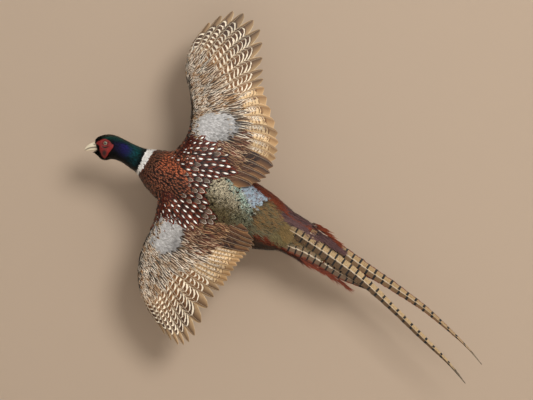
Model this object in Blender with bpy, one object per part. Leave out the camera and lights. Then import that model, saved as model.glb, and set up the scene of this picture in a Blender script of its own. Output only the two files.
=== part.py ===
"""Cock ring-necked pheasant, mounted in flight on a wall, seen from its back.

World axes: +X right, +Z up, +Y into the wall. The wall is the plane y = 0, and the
origin is the middle of the wall plate's back face. All lengths below are millimetres,
turned into metres by MM where the meshes are made.

The bird's own axes: "back" runs from head to tail down a slope of BODY_SLOPE, and
"out" runs across it, positive on the bird's right, which is uppermost.
"""
import math
from dataclasses import dataclass

import bmesh
import bpy
import numpy as np
from mathutils import Vector

MM = 0.001
GAP = 0.3                    # clearance kept between two solids that meet
CUT_GROWTH = 0.35            # how far a cutter stands out from the solid it clears
BODY_SLOPE = math.radians(24.6)
BODY_SIDES = 20              # facets round the body
BODY_ROUNDNESS = 2.15        # exponent of the body's superellipse sections

# The body from bill base to tail coverts. Each section has its centre (x, z, y) and its
# reach: up (crown, then the bird's right side), down, near (out of the wall) and far.
SPINE = np.array([
    # x,      z,     y,    up,   down, near, far
    (-218.8,  96.6, -118, 10.5, 12.9,  9.0,  9.0),   # bill base
    (-214.8,  97.5, -118, 18.0, 18.6, 12.5, 12.5),   # forehead
    (-207.9,  97.3, -118, 21.8, 24.6, 15.0, 15.0),   # brow
    (-199.5,  97.1, -118, 23.3, 26.0, 17.0, 17.0),   # eye
    (-189.0,  96.6, -118, 23.6, 23.3, 18.0, 18.0),   # ear
    (-176.7,  93.9, -118, 20.6, 22.4, 19.0, 19.0),   # nape
    (-161.6,  86.7, -117, 19.8, 21.0, 20.5, 20.5),   # upper neck
    (-141.7,  75.4, -114, 22.5, 23.5, 23.5, 23.5),   # lower neck
    (-131.7,  70.3, -112, 25.4, 25.0, 26.0, 27.0),   # white collar
    (-117.4,  61.8, -109, 34.6, 32.2, 34.0, 37.0),   # neck base
    (-91.2,   44.6, -106, 51.0, 44.5, 44.0, 51.0),   # upper breast
    (-51.3,   26.6, -105, 59.0, 59.0, 50.0, 61.0),   # shoulders
    (-3.8,     5.7, -105, 62.5, 62.5, 50.0, 62.0),   # middle of the back
    (45.6,   -17.1, -104, 59.0, 59.0, 46.0, 57.0),   # rump
    (98.8,   -45.6, -101, 53.0, 55.0, 38.0, 46.0),   # thighs
    (138.7,  -64.6,  -99, 40.7, 38.0, 27.0, 32.0),   # vent
    (167.2,  -79.8,  -98, 38.8, 35.0, 18.0, 22.0),   # tail coverts
    (193.8,  -95.0,  -97, 30.3, 36.0,  9.0, 13.0),   # long tail coverts
    (216.6, -108.3,  -97, 20.0, 22.0,  4.5,  7.0),   # their tips
])
BODY_PARTS = (("head", 0.0, 5.2), ("neck", 5.2, 8.5), ("breast", 8.5, 10.6),
              ("trunk", 10.6, 13.3), ("rump", 13.3, 15.4), ("tail_coverts", 15.4, 18.0))

HEAD_DEPTH = -118.0          # y of the head's own middle plane
# The feathered chin under the bill, as x, z and radius.
CHIN = ((-226.4, 88.1, 1.0), (-217.0, 84.4, 4.6), (-209.0, 80.5, 6.4), (-202.0, 79.5, 6.6))
EYE_AT = (-200.4, 103.4)     # x, z of both eyes
EYE_RADIUS = 5.0
EYE_OFFSET = 12.6            # eye centre from the head's middle plane
WATTLE_RISE = 1.9            # how far the bare red skin stands out from the head
# The bare red skin's outline round the eye and down to its lobe, as (x, z) from the eye.
WATTLE_OUTLINE = ((-16.5, 1.7), (-10.6, 6.6), (-4.7, 8.0), (2.8, 6.6), (9.1, 2.7), (10.6, -0.4),
                  (15.0, -1.7), (13.3, -6.8), (8.5, -12.5), (4.2, -19.1), (1.5, -25.8),
                  (-1.9, -28.6), (-6.1, -24.8), (-9.7, -17.2), (-11.6, -9.7), (-11.7, -4.0),
                  (-15.2, -2.1))
# Bill sections from base to tip: x, top, bottom, half width.
UPPER_BILL = ((-213.0, 106.3, 96.0, 7.0), (-221.6, 106.3, 95.8, 6.2), (-230.3, 103.3, 94.9, 4.8),
              (-236.5, 98.8, 92.7, 3.2), (-240.0, 94.4, 90.9, 1.8), (-241.9, 90.4, 88.9, 0.6))
LOWER_BILL = ((-213.0, 95.4, 89.7, 5.6), (-222.0, 95.2, 89.7, 5.0), (-229.5, 94.2, 89.8, 3.8),
              (-235.5, 92.1, 89.4, 2.3), (-238.6, 90.5, 89.2, 0.9))

# Front toes: back, out and y of their root, how they curl in toward the belly, in degrees.
TOE_START = (179.0, 15.0, -58.0)
TOE_STEPS = 5
TOE_BEND_START = -20.0
TOE_CURL = 150.0
TOE_TAPER = 0.6              # how much thinner a toe gets before its claw
TOE_SPLAY = 1.6              # how soon a toe reaches its full spread
CLAW_TIP = 0.5

PLATE_SIZE = (92.0, 8.0, 64.0)   # wall plate: long axis, depth, short axis
ROD_RADIUS = 5.0
ROD_TIP = -68.0                  # y where the rod ends inside the trunk

SKIN = ("feathered skin", (0.33, 0.12, 0.05), 0.7)
NECK = ("dark neck feathers", (0.02, 0.06, 0.07), 0.45)
RED = ("red bare skin", (0.55, 0.02, 0.02), 0.5)
HORN = ("pale bill horn", (0.72, 0.62, 0.45), 0.4)
EYE = ("glass eye", (0.35, 0.22, 0.05), 0.1)
FLIGHT = ("barred flight feathers", (0.42, 0.30, 0.18), 0.65)
TAIL = ("barred tail feathers", (0.45, 0.33, 0.18), 0.6)
SCALE = ("grey-brown leg scales", (0.28, 0.24, 0.20), 0.5)
WOOD = ("dark stained wood", (0.10, 0.05, 0.03), 0.5)
STEEL = ("blackened steel", (0.05, 0.05, 0.05), 0.4)


@dataclass(frozen=True)
class Wing:
    """One spread wing, as stations from its root to the hand's end.

    Each station holds three (back, out) points: the leading edge, the rear edge of the
    coverts, where the flight feathers leave them, and the flight feathers' tips.
    """

    side: str
    sign: int                # +1 on the bird's right
    dihedral: float          # how steeply the wing rises off the body, degrees
    span: float              # the reach over which its rise flattens out
    root_depth: float        # y of the leading edge at the shoulder
    inner_lift: float        # how far the tertials rise to clear the back
    stations: tuple


RIGHT_WING = Wing("right", 1, -5.0, 280.0, -135.0, 12.0, (
    ((-99.8, 48), (-15.6, 26.1), (42.3, 36)),            # inside the back
    ((-91.7, 79.2), (-3.1, 63), (73, 69)),               # shoulder and tertials
    ((-92.2, 96.4), (-4.6, 97.4), (80.9, 101.4)),        # elbow
    ((-97.9, 117.8), (-15.4, 138.2), (65.6, 158.7)),     # middle of the forearm
    ((-106.6, 140.3), (-48.4, 169.2), (6.9, 226.4)),     # wrist
    ((-120.4, 163), (-80.3, 185.7), (-18.2, 271.5)),     # inner primaries
    ((-137.3, 184.7), (-108.3, 204.5), (-52.9, 331.7)),  # middle of the hand
    ((-148.1, 204.5), (-131.1, 219.1), (-109, 341.3)),   # outer primaries
    ((-152.8, 223.2), (-149.8, 227.4), (-149.4, 293.6)),  # hand's end
))
LEFT_WING = Wing("left", -1, -5.0, 230.0, -135.0, 9.0, (
    ((-94.3, 26.7), (-5.7, 16.8), (64, 12)),
    ((-87, 54), (19.2, 38.8), (107, 41)),
    ((-81.7, 77.5), (19.7, 73.4), (107, 61.3)),
    ((-80.5, 103.2), (10.2, 107.4), (97, 93)),
    ((-81.3, 130.2), (-10.4, 129.2), (90.9, 137.5)),
    ((-78, 158.4), (-26.9, 149), (79.7, 180.4)),
    ((-69.4, 183.6), (-36.5, 173.1), (78.5, 254.5)),
    ((-59.6, 203.6), (-42.1, 198.3), (59.9, 280)),
    ((-47.6, 219.5), (-43.4, 217.4), (20.7, 271.5)),
))
# Thickness of the fleshy wing at each station, and of its rear edge and the feathers.
WING_FLESH = (24.0, 24.0, 19.0, 15.0, 13.0, 10.0, 8.0, 6.0, 4.5)
# Where across the flesh each of those holds, as chords, and the share of it that is left.
FLESH_CHORDS = (0.0, 0.05, 0.16, 0.36, 0.62)
FLESH_SWELL = (0.35, 0.68, 0.95, 1.0, 0.6)
COVERT_EDGE = 2.4
FEATHER_THICK = 1.2
FEATHER_STEP = 0.7           # how far each feather's outer edge stands over the next
RISE_FROM = 55.0             # how far out the wing starts to rise
RISE_LEAST = -20.0           # least reach from there that still counts, inside the back
RISE_START = 1.15            # steepness at the root, as a share of the dihedral
RISE_EASE = 0.3              # how much of it is lost over the span
COVERT_DROOP = 0.45          # share of the droop reached where the coverts end
STATION_LENGTH = 20.0        # least distance between two stations of the flight feathers
NOTCH_CURVE = 2.2            # exponent that rounds each feather's tip
TIP_DROOP = 10.0             # how far the feather tips sink back toward the wall
OUTER_VANE = 8.5             # how far the first primary's outer edge bows forward
WING_PARTS = (("upper_arm", 0.0, 2.2), ("forearm", 2.2, 4.3), ("hand", 4.3, 8.0))
# Flight feathers: node, station range, number of feathers, depth of the notch between tips.
FLIGHT_PARTS = (("tertials", 0.35, 2.2, 5, 5.0), ("secondaries", 2.2, 4.2, 8, 4.0),
                ("primaries", 4.2, 8.0, 10, 11.0))

# Tail feathers, uppermost layer first: (x, z, half width) along each centreline.
TAIL_FEATHERS = {
    "tail_long_right": ((186, -66, 10), (243, -99.5, 11), (300, -139, 10.5), (350, -172, 8.6),
                        (405, -211, 5.9), (450, -250, 3.6), (487, -285.5, 1.6), (514.3, -317.7, 0.5)),
    "tail_long_left": ((170, -74, 11), (224, -110, 11.8), (281, -151.5, 10.2), (338, -204, 6.8),
                       (395, -260, 5.6), (448, -312, 3.0), (482.6, -353.4, 0.5)),
    "tail_fan_right": ((184, -74, 10), (224, -98, 11), (262, -121, 10), (300, -146, 6.5),
                       (332, -166, 1.0)),
    "tail_fan_left": ((170, -88, 14), (205, -114, 15.5), (240, -136, 13.5), (268, -152, 8.5),
                      (296, -172, 1.0)),
}
TAIL_LAYER = 2.4
TAIL_TOP = -105.5            # y of the uppermost tail layer at its root
TAIL_BOW = 14.0              # how far the tail's end bends back toward the wall
SHAFT_RISE = 0.6

# Legs folded back under the belly, as (back, out, y) with their radii.
DRUMSTICK = ((22, 33, -72, 17), (48, 35, -66, 21), (76, 31, -60, 16), (98, 26, -54, 9),
             (110, 23, -52, 5.5))
SHANK = ((111.6, 22.7, -51.9, 4.6), (130, 20, -53, 3.7), (160, 17, -56, 3.6), (178, 15, -58, 4.4))
SPUR = ((150, 18, -56, 2.6), (153, 13, -53, 2.0), (158, 8, -51, 0.7))
# Front toes: spread across, length, base radius.
TOES = ((0.0, 46.0, 3.0), (13.0, 36.0, 2.7), (-13.0, 36.0, 2.7))
LEG_AXIS = -3.0              # out of the line midway between the legs
HIND_TOE = ((179, 15, -58, 2.6), (180, 13, -50, 2.3), (176, 12, -44, 1.8), (171, 12, -41, 0.6))


def clear_scene():
    """Removes whatever the open file holds."""
    for existing in list(bpy.data.objects):
        bpy.data.objects.remove(existing, do_unlink=True)


def finish(spec, metallic=0.0):
    """The named Principled material, made once."""
    name, colour, roughness = spec
    material = bpy.data.materials.get(name)
    if material is None:
        material = bpy.data.materials.new(name)
        material.use_nodes = True
        shader = material.node_tree.nodes["Principled BSDF"]
        shader.inputs["Base Color"].default_value = (*colour, 1.0)
        shader.inputs["Roughness"].default_value = roughness
        shader.inputs["Metallic"].default_value = metallic
        material.diffuse_color = (*colour, 1.0)
    return material


def add_object(name, vertices, faces, spec, guide=False):
    """A mesh object from millimetre vertices; a guide only cuts others."""
    mesh = bpy.data.meshes.new(name)
    mesh.from_pydata([Vector(v) * MM for v in vertices], [], faces)
    shell = bmesh.new()
    shell.from_mesh(mesh)
    bmesh.ops.recalc_face_normals(shell, faces=shell.faces)
    shell.to_mesh(mesh)
    shell.free()
    mesh.shade_smooth()
    mesh.set_sharp_from_angle(angle=math.radians(38))
    mesh.materials.append(finish(spec))
    made = bpy.data.objects.new(name, mesh)
    bpy.context.collection.objects.link(made)
    if guide:
        made.hide_render = True
        made.display_type = "WIRE"
    return made


def combine(target, other, operation="DIFFERENCE"):
    """Cuts, joins or intersects target with other by an exact Boolean."""
    modifier = target.modifiers.new(operation.lower() + " " + other.name, "BOOLEAN")
    modifier.operation = operation
    modifier.solver = "EXACT"
    modifier.object = other


def blend(rows, at):
    """The row at a fractional index of a table, smooth through every row."""
    rows = np.asarray(rows, float)
    last = len(rows) - 1
    at = min(max(at, 0.0), float(last))
    low = min(int(at), last - 1)
    t = at - low
    before = rows[max(low - 1, 0)]
    start, end = rows[low], rows[low + 1]
    after = rows[min(low + 2, last)]
    leave = (end - before) / 2
    arrive = (after - start) / 2
    return (start * (2 * t**3 - 3 * t**2 + 1) + leave * (t**3 - 2 * t**2 + t)
            + end * (3 * t**2 - 2 * t**3) + arrive * (t**3 - t**2))


def world(back, out, depth):
    """World millimetres of a point given along and across the bird."""
    slope_cos, slope_sin = math.cos(BODY_SLOPE), math.sin(BODY_SLOPE)
    return (back * slope_cos + out * slope_sin, depth, -back * slope_sin + out * slope_cos)


def rings_to_faces(rings, sides):
    """Quads between consecutive rings, with a flat cap at each end."""
    faces = [tuple(range(sides)), tuple(range((rings - 1) * sides, rings * sides))]
    for ring in range(rings - 1):
        for side in range(sides):
            a, b = ring * sides + side, ring * sides + (side + 1) % sides
            faces.append((a, b, b + sides, a + sides))
    return faces


# ---- body ------------------------------------------------------------------------

def body_ring(at, grow):
    """One section of the body, its reach enlarged by grow."""
    x, z, y, up, down, near, far = blend(SPINE, at)
    ahead, behind = blend(SPINE, at + 0.02), blend(SPINE, at - 0.02)
    run = Vector((ahead[0] - behind[0], ahead[1] - behind[1])).normalized()
    ring = []
    for side in range(BODY_SIDES):
        angle = 2 * math.pi * side / BODY_SIDES
        across = math.copysign(abs(math.cos(angle)) ** (2 / BODY_ROUNDNESS), math.cos(angle))
        deep = math.copysign(abs(math.sin(angle)) ** (2 / BODY_ROUNDNESS), math.sin(angle))
        across *= (up if across > 0 else down) + grow
        deep *= (near if deep > 0 else far) + grow
        ring.append((x - run.y * across, y - deep, z + run.x * across))
    return ring


def half_gap(at):
    """Half of GAP in stations of the spine."""
    ahead, behind = blend(SPINE, at + 0.02), blend(SPINE, at - 0.02)
    return 0.5 * GAP * 0.04 / float(np.linalg.norm(ahead[:2] - behind[:2]))


def body_stations(start, end):
    """Station values of one body part, drawn back from its cuts by half a gap."""
    first = start + half_gap(start) if start > 0 else start
    last = end - half_gap(end) if end < len(SPINE) - 1 else end
    inner = [k / 2 for k in range(2 * len(SPINE)) if first + 0.05 < k / 2 < last - 0.05]
    return [first, *inner, last]


def body_solid(name, stations, grow, spec, guide=False):
    """A closed stretch of the body through the given stations."""
    vertices = [point for at in stations for point in body_ring(at, grow)]
    faces = rings_to_faces(len(stations), BODY_SIDES)
    return add_object(name, vertices, faces, spec, guide)


def make_body():
    """The six body parts, and the guides that cut what meets them."""
    parts = {}
    every_station = []
    for name, start, end in BODY_PARTS:
        stations = body_stations(start, end)
        every_station += stations
        spec = NECK if name in ("head", "neck") else SKIN
        parts[name] = body_solid(name, stations, 0.0, spec)
    envelope = body_solid("body_envelope", every_station, CUT_GROWTH, SKIN, guide=True)
    return parts, envelope


# ---- head ------------------------------------------------------------------------

def make_bill(name, sections, envelope, arch_up):
    """Half of the bill: an arch over a flat mouth line, upright or turned over."""
    steps = 8
    vertices = []
    for x, top, bottom, half in sections:
        flat, crest = (bottom, top) if arch_up else (top, bottom)
        for step in range(steps + 1):
            angle = math.pi * step / steps
            rise = math.sin(angle) ** 0.8 if 0 < step < steps else 0.0
            vertices.append((x, HEAD_DEPTH - half * math.cos(angle), flat + (crest - flat) * rise))
    bill = add_object(name, vertices, rings_to_faces(len(sections), steps + 1), HORN)
    combine(bill, envelope)


def make_chin(head):
    """The tapering chin feathers, grown into the head under the bill."""
    sides = 10
    vertices = []
    for x, z, radius in CHIN:
        for side in range(sides):
            angle = 2 * math.pi * side / sides
            vertices.append((x, HEAD_DEPTH + radius * math.cos(angle), z + radius * math.sin(angle)))
    chin = add_object("chin_guide", vertices, rings_to_faces(len(CHIN), sides), NECK, guide=True)
    combine(head, chin, "UNION")


def ball(name, centre, radius, spec, guide=False):
    """A faceted ball with its poles along Y."""
    rows, sides = 7, 12
    vertices = [(centre[0], centre[1] - radius, centre[2])]
    for row in range(1, rows):
        polar = math.pi * row / rows
        for side in range(sides):
            angle = 2 * math.pi * side / sides
            vertices.append((centre[0] + radius * math.sin(polar) * math.cos(angle),
                             centre[1] - radius * math.cos(polar),
                             centre[2] + radius * math.sin(polar) * math.sin(angle)))
    vertices.append((centre[0], centre[1] + radius, centre[2]))
    faces = []
    for side in range(sides):
        beside = (side + 1) % sides
        faces.append((0, 1 + side, 1 + beside))
        faces.append((len(vertices) - 1, len(vertices) - 1 - sides + side,
                      len(vertices) - 1 - sides + beside))
        for row in range(rows - 2):
            a, b = 1 + row * sides + side, 1 + row * sides + beside
            faces.append((a, b, b + sides, a + sides))
    return add_object(name, vertices, faces, spec, guide)


def make_face(head, envelope):
    """Both eyes in their sockets, and the bare red skin round them."""
    swollen = body_solid("head_swollen", [k / 2 for k in range(14)], WATTLE_RISE, RED, guide=True)
    for side, sign in (("left", -1), ("right", 1)):
        centre = (EYE_AT[0], HEAD_DEPTH + sign * EYE_OFFSET, EYE_AT[1])
        ball("eye_" + side, centre, EYE_RADIUS, EYE)
        socket = ball("socket_" + side, centre, EYE_RADIUS + GAP, EYE, guide=True)
        combine(head, socket)
        count = len(WATTLE_OUTLINE)
        vertices = [(EYE_AT[0] + x, HEAD_DEPTH + sign * reach, EYE_AT[1] + z)
                    for reach in (3.0, 30.0) for x, z in WATTLE_OUTLINE]
        wattle = add_object("wattle_" + side, vertices, rings_to_faces(2, count), RED)
        combine(wattle, swollen, "INTERSECT")
        combine(wattle, envelope)
        combine(wattle, socket)


# ---- wings -----------------------------------------------------------------------

def smooth_wing_point(wing, at, chord):
    """A point of the smooth wing: chord 0 is the leading edge, 1 the coverts, 2 the tips."""
    lead, covert, tip = blend([np.ravel(s) for s in wing.stations], at).reshape(3, 2)
    if chord <= 1:
        back, out = lead + (covert - lead) * chord
        share = COVERT_DROOP * chord
    else:
        back, out = covert + (tip - covert) * (chord - 1)
        share = COVERT_DROOP + (1 - COVERT_DROOP) * (chord - 1)
    beyond = max(out - RISE_FROM, RISE_LEAST)
    steepness = RISE_START - RISE_EASE * beyond / wing.span
    rise = math.tan(math.radians(wing.dihedral)) * beyond * steepness
    lift = wing.inner_lift * max(0.0, 1 - at / 4)
    depth = wing.root_depth - rise + (TIP_DROOP - 2 * lift) * share**2
    return Vector(world(back, out * wing.sign, depth))


def wing_point(wing, at, chord):
    """The same, straight between half stations, so that pieces cut there fit each other."""
    low = math.floor(2 * at) / 2
    start, end = (smooth_wing_point(wing, low + k, chord) for k in (0.0, 0.5))
    return start.lerp(end, 2 * (at - low))


def make_flesh_part(wing, name, start, end, envelope):
    """A thick length of the wing, from its leading edge to the rear of the coverts."""
    station = (wing_point(wing, end, 0.3) - wing_point(wing, start, 0.3)).length / (end - start)
    first = start + (0.5 * GAP / station if start > 0 else 0)
    last = end - (0.5 * GAP / station if end < 8 else 0)
    inner = [k / 2 for k in range(17) if first + 0.05 < k / 2 < last - 0.05]
    vertices = []
    for at in (first, *inner, last):
        rear = 1 - 0.5 * GAP / (wing_point(wing, at, 1.0) - wing_point(wing, at, 0.0)).length
        chords = (*FLESH_CHORDS, rear)
        flesh = float(blend(np.array(WING_FLESH)[:, None], at)[0])
        thick = [flesh * s for s in FLESH_SWELL] + [COVERT_EDGE]
        upper = [wing_point(wing, at, c) for c in chords]
        for point, t in zip(upper, thick):
            vertices.append(tuple(point + Vector((0, -0.5 * t + 0.5 * COVERT_EDGE, 0))))
        for point, t in reversed(list(zip(upper, thick))):
            vertices.append(tuple(point + Vector((0, 0.5 * t + 0.5 * COVERT_EDGE, 0))))
    sides = 2 * len(chords)
    part = add_object(f"wing_{wing.side}_{name}", vertices,
                      rings_to_faces(len(inner) + 2, sides), SKIN)
    combine(part, envelope)


def make_flight_part(wing, name, start, end, count, notch, envelope):
    """A row of flight feathers in one piece, stepped at each and notched between tips."""
    shares = (0.0, 0.3, 0.65, 1.0)
    rows = (0.0, 0.35, 0.75, 1.0)
    columns = []
    pitch = (end - start) / count
    for feather in range(count):
        for share in shares:
            # a hair's breadth between one feather's last column and the next one's first
            at = start + pitch * (feather + 0.02 + 0.96 * share)
            columns.append((at, FEATHER_STEP * share, abs(2 * share - 1) ** NOTCH_CURVE))
    upper, lower = [], []
    for index, (at, lift, edge) in enumerate(columns):
        root, tip = wing_point(wing, at, 1.0), wing_point(wing, at, 2.0)
        length = (tip - root).length
        reach = 1 - notch * edge / length
        first = 0.5 * GAP / length
        bow = Vector((0, 0, 0))
        if name == "primaries" and index == len(columns) - 1:
            bow = (wing_point(wing, at, 1.5) - wing_point(wing, at - 0.3, 1.5)).normalized()
        for row in rows:
            share = first + (reach - first) * row
            point = wing_point(wing, at, 1 + share) + bow * OUTER_VANE * math.sin(math.pi * row**0.8)
            upper.append(tuple(point + Vector((0, -lift, 0))))
            lower.append(tuple(point + Vector((0, FEATHER_THICK, 0))))
    height, width = len(rows), len(columns)
    under = len(upper)
    faces = []
    for c in range(width - 1):
        for r in range(height - 1):
            a, b = c * height + r, (c + 1) * height + r
            faces.append((a, b, b + 1, a + 1))
            faces.append((under + a, under + a + 1, under + b + 1, under + b))
        for r in (0, height - 1):
            a, b = c * height + r, (c + 1) * height + r
            faces.append((a, b, under + b, under + a))
    for c in (0, width - 1):
        for r in range(height - 1):
            a = c * height + r
            faces.append((a, a + 1, under + a + 1, under + a))
    part = add_object(f"wing_{wing.side}_{name}", upper + lower, faces, FLIGHT)
    if start < 2:
        combine(part, envelope)


def make_wing(wing, envelope):
    """Three fleshy lengths and three rows of flight feathers."""
    for name, start, end in WING_PARTS:
        make_flesh_part(wing, name, start, end, envelope)
    for name, start, end, count, notch in FLIGHT_PARTS:
        first = start + 0.5 * GAP / STATION_LENGTH
        last = end - 0.5 * GAP / STATION_LENGTH
        make_flight_part(wing, name, first, last, count, notch, envelope)


# ---- tail ------------------------------------------------------------------------

def make_tail_feather(name, layer, table, envelope):
    """A long vane, ridged along its shaft, lying in its own layer."""
    shares = (-1.0, -0.5, 0.0, 0.5, 1.0)
    steps = 2 * (len(table) - 1)
    vertices = []
    for step in range(steps + 1):
        at = step / 2
        x, z, half = blend(table, at)
        ahead, behind = blend(table, at + 0.05), blend(table, at - 0.05)
        run = Vector((ahead[0] - behind[0], ahead[1] - behind[1])).normalized()
        y = TAIL_TOP + layer * TAIL_LAYER + TAIL_BOW * ((x - 170.0) / 340.0) ** 2
        ridge = [y - SHAFT_RISE * (1 - abs(s)) for s in shares]
        for share, top in zip(shares, ridge):
            vertices.append((x - run.y * half * share, top, z + run.x * half * share))
        for share in reversed(shares):
            vertices.append((x - run.y * half * share, y + FEATHER_THICK, z + run.x * half * share))
    vane = add_object(name, vertices, rings_to_faces(steps + 1, 2 * len(shares)), TAIL)
    combine(vane, envelope)


# ---- legs ------------------------------------------------------------------------

def tube(name, route, sides, spec, guide=False):
    """A closed round limb through (back, out, y, radius) points."""
    centres = [Vector(world(back, out, depth)) for back, out, depth, _ in route]
    vertices = []
    for index, centre in enumerate(centres):
        run = (centres[min(index + 1, len(centres) - 1)] - centres[max(index - 1, 0)]).normalized()
        first = run.cross(Vector((0.3, 0.1, 0.9))).normalized()
        second = run.cross(first)
        for side in range(sides):
            angle = 2 * math.pi * side / sides
            spoke = first * math.cos(angle) + second * math.sin(angle)
            vertices.append(tuple(centre + spoke * route[index][3]))
    return add_object(name, vertices, rings_to_faces(len(centres), sides), spec, guide)


def mirrored(route, sign):
    """The same route on the bird's right (+1) or left (-1)."""
    return [(back, LEG_AXIS + out * sign, depth, radius) for back, out, depth, radius in route]


def toe_route(spread, length, radius):
    """A front toe that runs on from the shank and curls in toward the belly."""
    back, out, depth = TOE_START
    points = []
    for step in range(TOE_STEPS + 1):
        share = step / TOE_STEPS
        thick = radius * (1 - TOE_TAPER * share) if step < TOE_STEPS else CLAW_TIP
        points.append((back, out + spread * min(1.0, TOE_SPLAY * share), depth, thick))
        bend = math.radians(TOE_BEND_START + TOE_CURL * share)
        back += length / TOE_STEPS * math.cos(bend)
        depth += length / TOE_STEPS * math.sin(bend)
    return points


def make_leg(side, sign, envelope):
    """Feathered drumstick, bare shank with its spur, and the curled foot."""
    thigh = tube("thigh_" + side, mirrored(DRUMSTICK, sign), 12, SKIN)
    combine(thigh, envelope)
    shank = tube("shank_" + side, mirrored(SHANK, sign), 8, SCALE)
    combine(shank, tube("spur_guide_" + side, mirrored(SPUR, sign), 6, SCALE, guide=True), "UNION")
    foot = tube("foot_" + side, mirrored(((178.5, 15, -58.1, 4.2), (181, 15, -58.6, 4.6),
                                          (184, 15, -58.8, 3.6)), sign), 8, SCALE)
    for index, (spread, length, radius) in enumerate(TOES):
        route = mirrored(toe_route(spread, length, radius), sign)
        combine(foot, tube(f"toe_guide_{side}_{index}", route, 5, SCALE, guide=True), "UNION")
    hind = tube("hind_guide_" + side, mirrored(HIND_TOE, sign), 5, SCALE, guide=True)
    combine(foot, hind, "UNION")
    wall = tube("shank_end_guide_" + side, mirrored(((160, 17, -56, 9), (178.4, 15, -58, 9)), sign),
                12, SCALE, guide=True)
    combine(foot, wall)


# ---- stand -----------------------------------------------------------------------

def make_stand(trunk):
    """The oval wall plate and the rod that carries the trunk."""
    sides = 36
    long_half, thickness, short_half = PLATE_SIZE[0] / 2, PLATE_SIZE[1], PLATE_SIZE[2] / 2
    chamfer = 1.5
    vertices = []
    for depth, inset in ((0.0, 0.0), (-thickness + chamfer, 0.0), (-thickness, chamfer)):
        for side in range(sides):
            angle = 2 * math.pi * side / sides
            vertices.append(world((long_half - inset) * math.cos(angle),
                                  (short_half - inset) * math.sin(angle), depth))
    add_object("stand_plate", vertices, rings_to_faces(3, sides), WOOD)

    def rod(name, near, far, radius, guide):
        ring = [(radius * math.cos(2 * math.pi * k / 20), y, radius * math.sin(2 * math.pi * k / 20))
                for y in (near, far) for k in range(20)]
        return add_object(name, ring, rings_to_faces(2, 20), STEEL, guide)

    rod("stand_rod", -thickness - GAP, ROD_TIP, ROD_RADIUS, False)
    combine(trunk, rod("rod_socket", 0.0, ROD_TIP - GAP, ROD_RADIUS + GAP, True))


def main():
    clear_scene()
    parts, envelope = make_body()
    make_bill("bill_upper", UPPER_BILL, envelope, True)
    make_bill("bill_lower", LOWER_BILL, envelope, False)
    make_chin(parts["head"])
    make_face(parts["head"], envelope)
    for wing in (RIGHT_WING, LEFT_WING):
        make_wing(wing, envelope)
    for layer, (name, table) in enumerate(TAIL_FEATHERS.items()):
        make_tail_feather(name, layer, table, envelope)
    for side, sign in (("right", 1), ("left", -1)):
        make_leg(side, sign, envelope)
    make_stand(parts["trunk"])


main()
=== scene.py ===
"""Looks of a cock ring-necked pheasant mounted in flight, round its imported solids.

World axes are those of the solids: +X right, +Z up, +Y into the wall, in metres. The bird's
own plan axes are "back", from head to tail, and "out", positive on its right side.
"""

import logging
import math
from dataclasses import dataclass
from enum import Enum
from typing import Any, Sequence

import bpy
import numpy as np
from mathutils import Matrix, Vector
from mathutils.bvhtree import BVHTree

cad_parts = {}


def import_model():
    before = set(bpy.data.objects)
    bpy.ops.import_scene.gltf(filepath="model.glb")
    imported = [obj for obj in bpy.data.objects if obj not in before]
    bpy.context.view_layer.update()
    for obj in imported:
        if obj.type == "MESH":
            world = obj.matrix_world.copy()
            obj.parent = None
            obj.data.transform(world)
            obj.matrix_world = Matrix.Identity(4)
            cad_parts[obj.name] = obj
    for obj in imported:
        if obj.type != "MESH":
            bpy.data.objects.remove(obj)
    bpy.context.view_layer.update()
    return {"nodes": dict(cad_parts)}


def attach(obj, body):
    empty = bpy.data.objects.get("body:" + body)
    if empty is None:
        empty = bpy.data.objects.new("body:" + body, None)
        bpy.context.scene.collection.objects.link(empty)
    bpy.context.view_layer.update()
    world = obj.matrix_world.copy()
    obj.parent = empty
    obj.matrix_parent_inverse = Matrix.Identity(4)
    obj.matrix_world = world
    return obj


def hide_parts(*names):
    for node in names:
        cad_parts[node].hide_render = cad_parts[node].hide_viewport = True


LOG = logging.getLogger("pheasant")
Array = np.ndarray
MM = 0.001
SLOPE = math.radians(24.6)
BODY = "root"
PATCH = 0.003                # width of one tuft's patch on the skin's unwrap
EYE = (-200.4, 103.4)        # the eyes' middle, in world x and z, in mm
HEAD_Y = -118.0              # the head's middle plane, in mm
OFF_BODY = 7.0               # skin further than this from the body's form is wing, in mm
TOWARD_WALL = Vector((0, 1, 0))
DROP_WIDTH = 2.6             # brings a teardrop's widest place to its half width
KERATIN_IOR = 1.54


# ---- numbers ----------------------------------------------------------------------


def linear(code: str) -> tuple[float, float, float, float]:
    """Turns an sRGB hex code into linear RGBA.

    Args:
        code: six hex digits.

    Returns:
        The colour as linear red, green, blue and 1.
    """
    parts = [int(code[k:k + 2], 16) / 255 for k in (0, 2, 4)]
    red, green, blue = (c / 12.92 if c <= 0.04045 else ((c + 0.055) / 1.055) ** 2.4 for c in parts)
    return red, green, blue, 1.0


def tint(code: str) -> Array:
    """The linear RGB of an sRGB hex code, as an array."""
    return np.array(linear(code)[:3])


def ramp(value: Array, low: float, high: float) -> Array:
    """A smooth 0 to 1 as value goes from low to high."""
    share = np.clip((value - low) / (high - low), 0.0, 1.0)
    return share * share * (3 - 2 * share)


def mixed(first: Array, second: Array, share: Array) -> Array:
    """Rows of colours, part way from first to second, one for each share."""
    return first + (second - first) * np.asarray(share)[..., None]


def unit(vectors: Array) -> Array:
    """The same vectors with a length of one."""
    return vectors / np.maximum(np.linalg.norm(vectors, axis=-1, keepdims=True), 1e-12)


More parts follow.
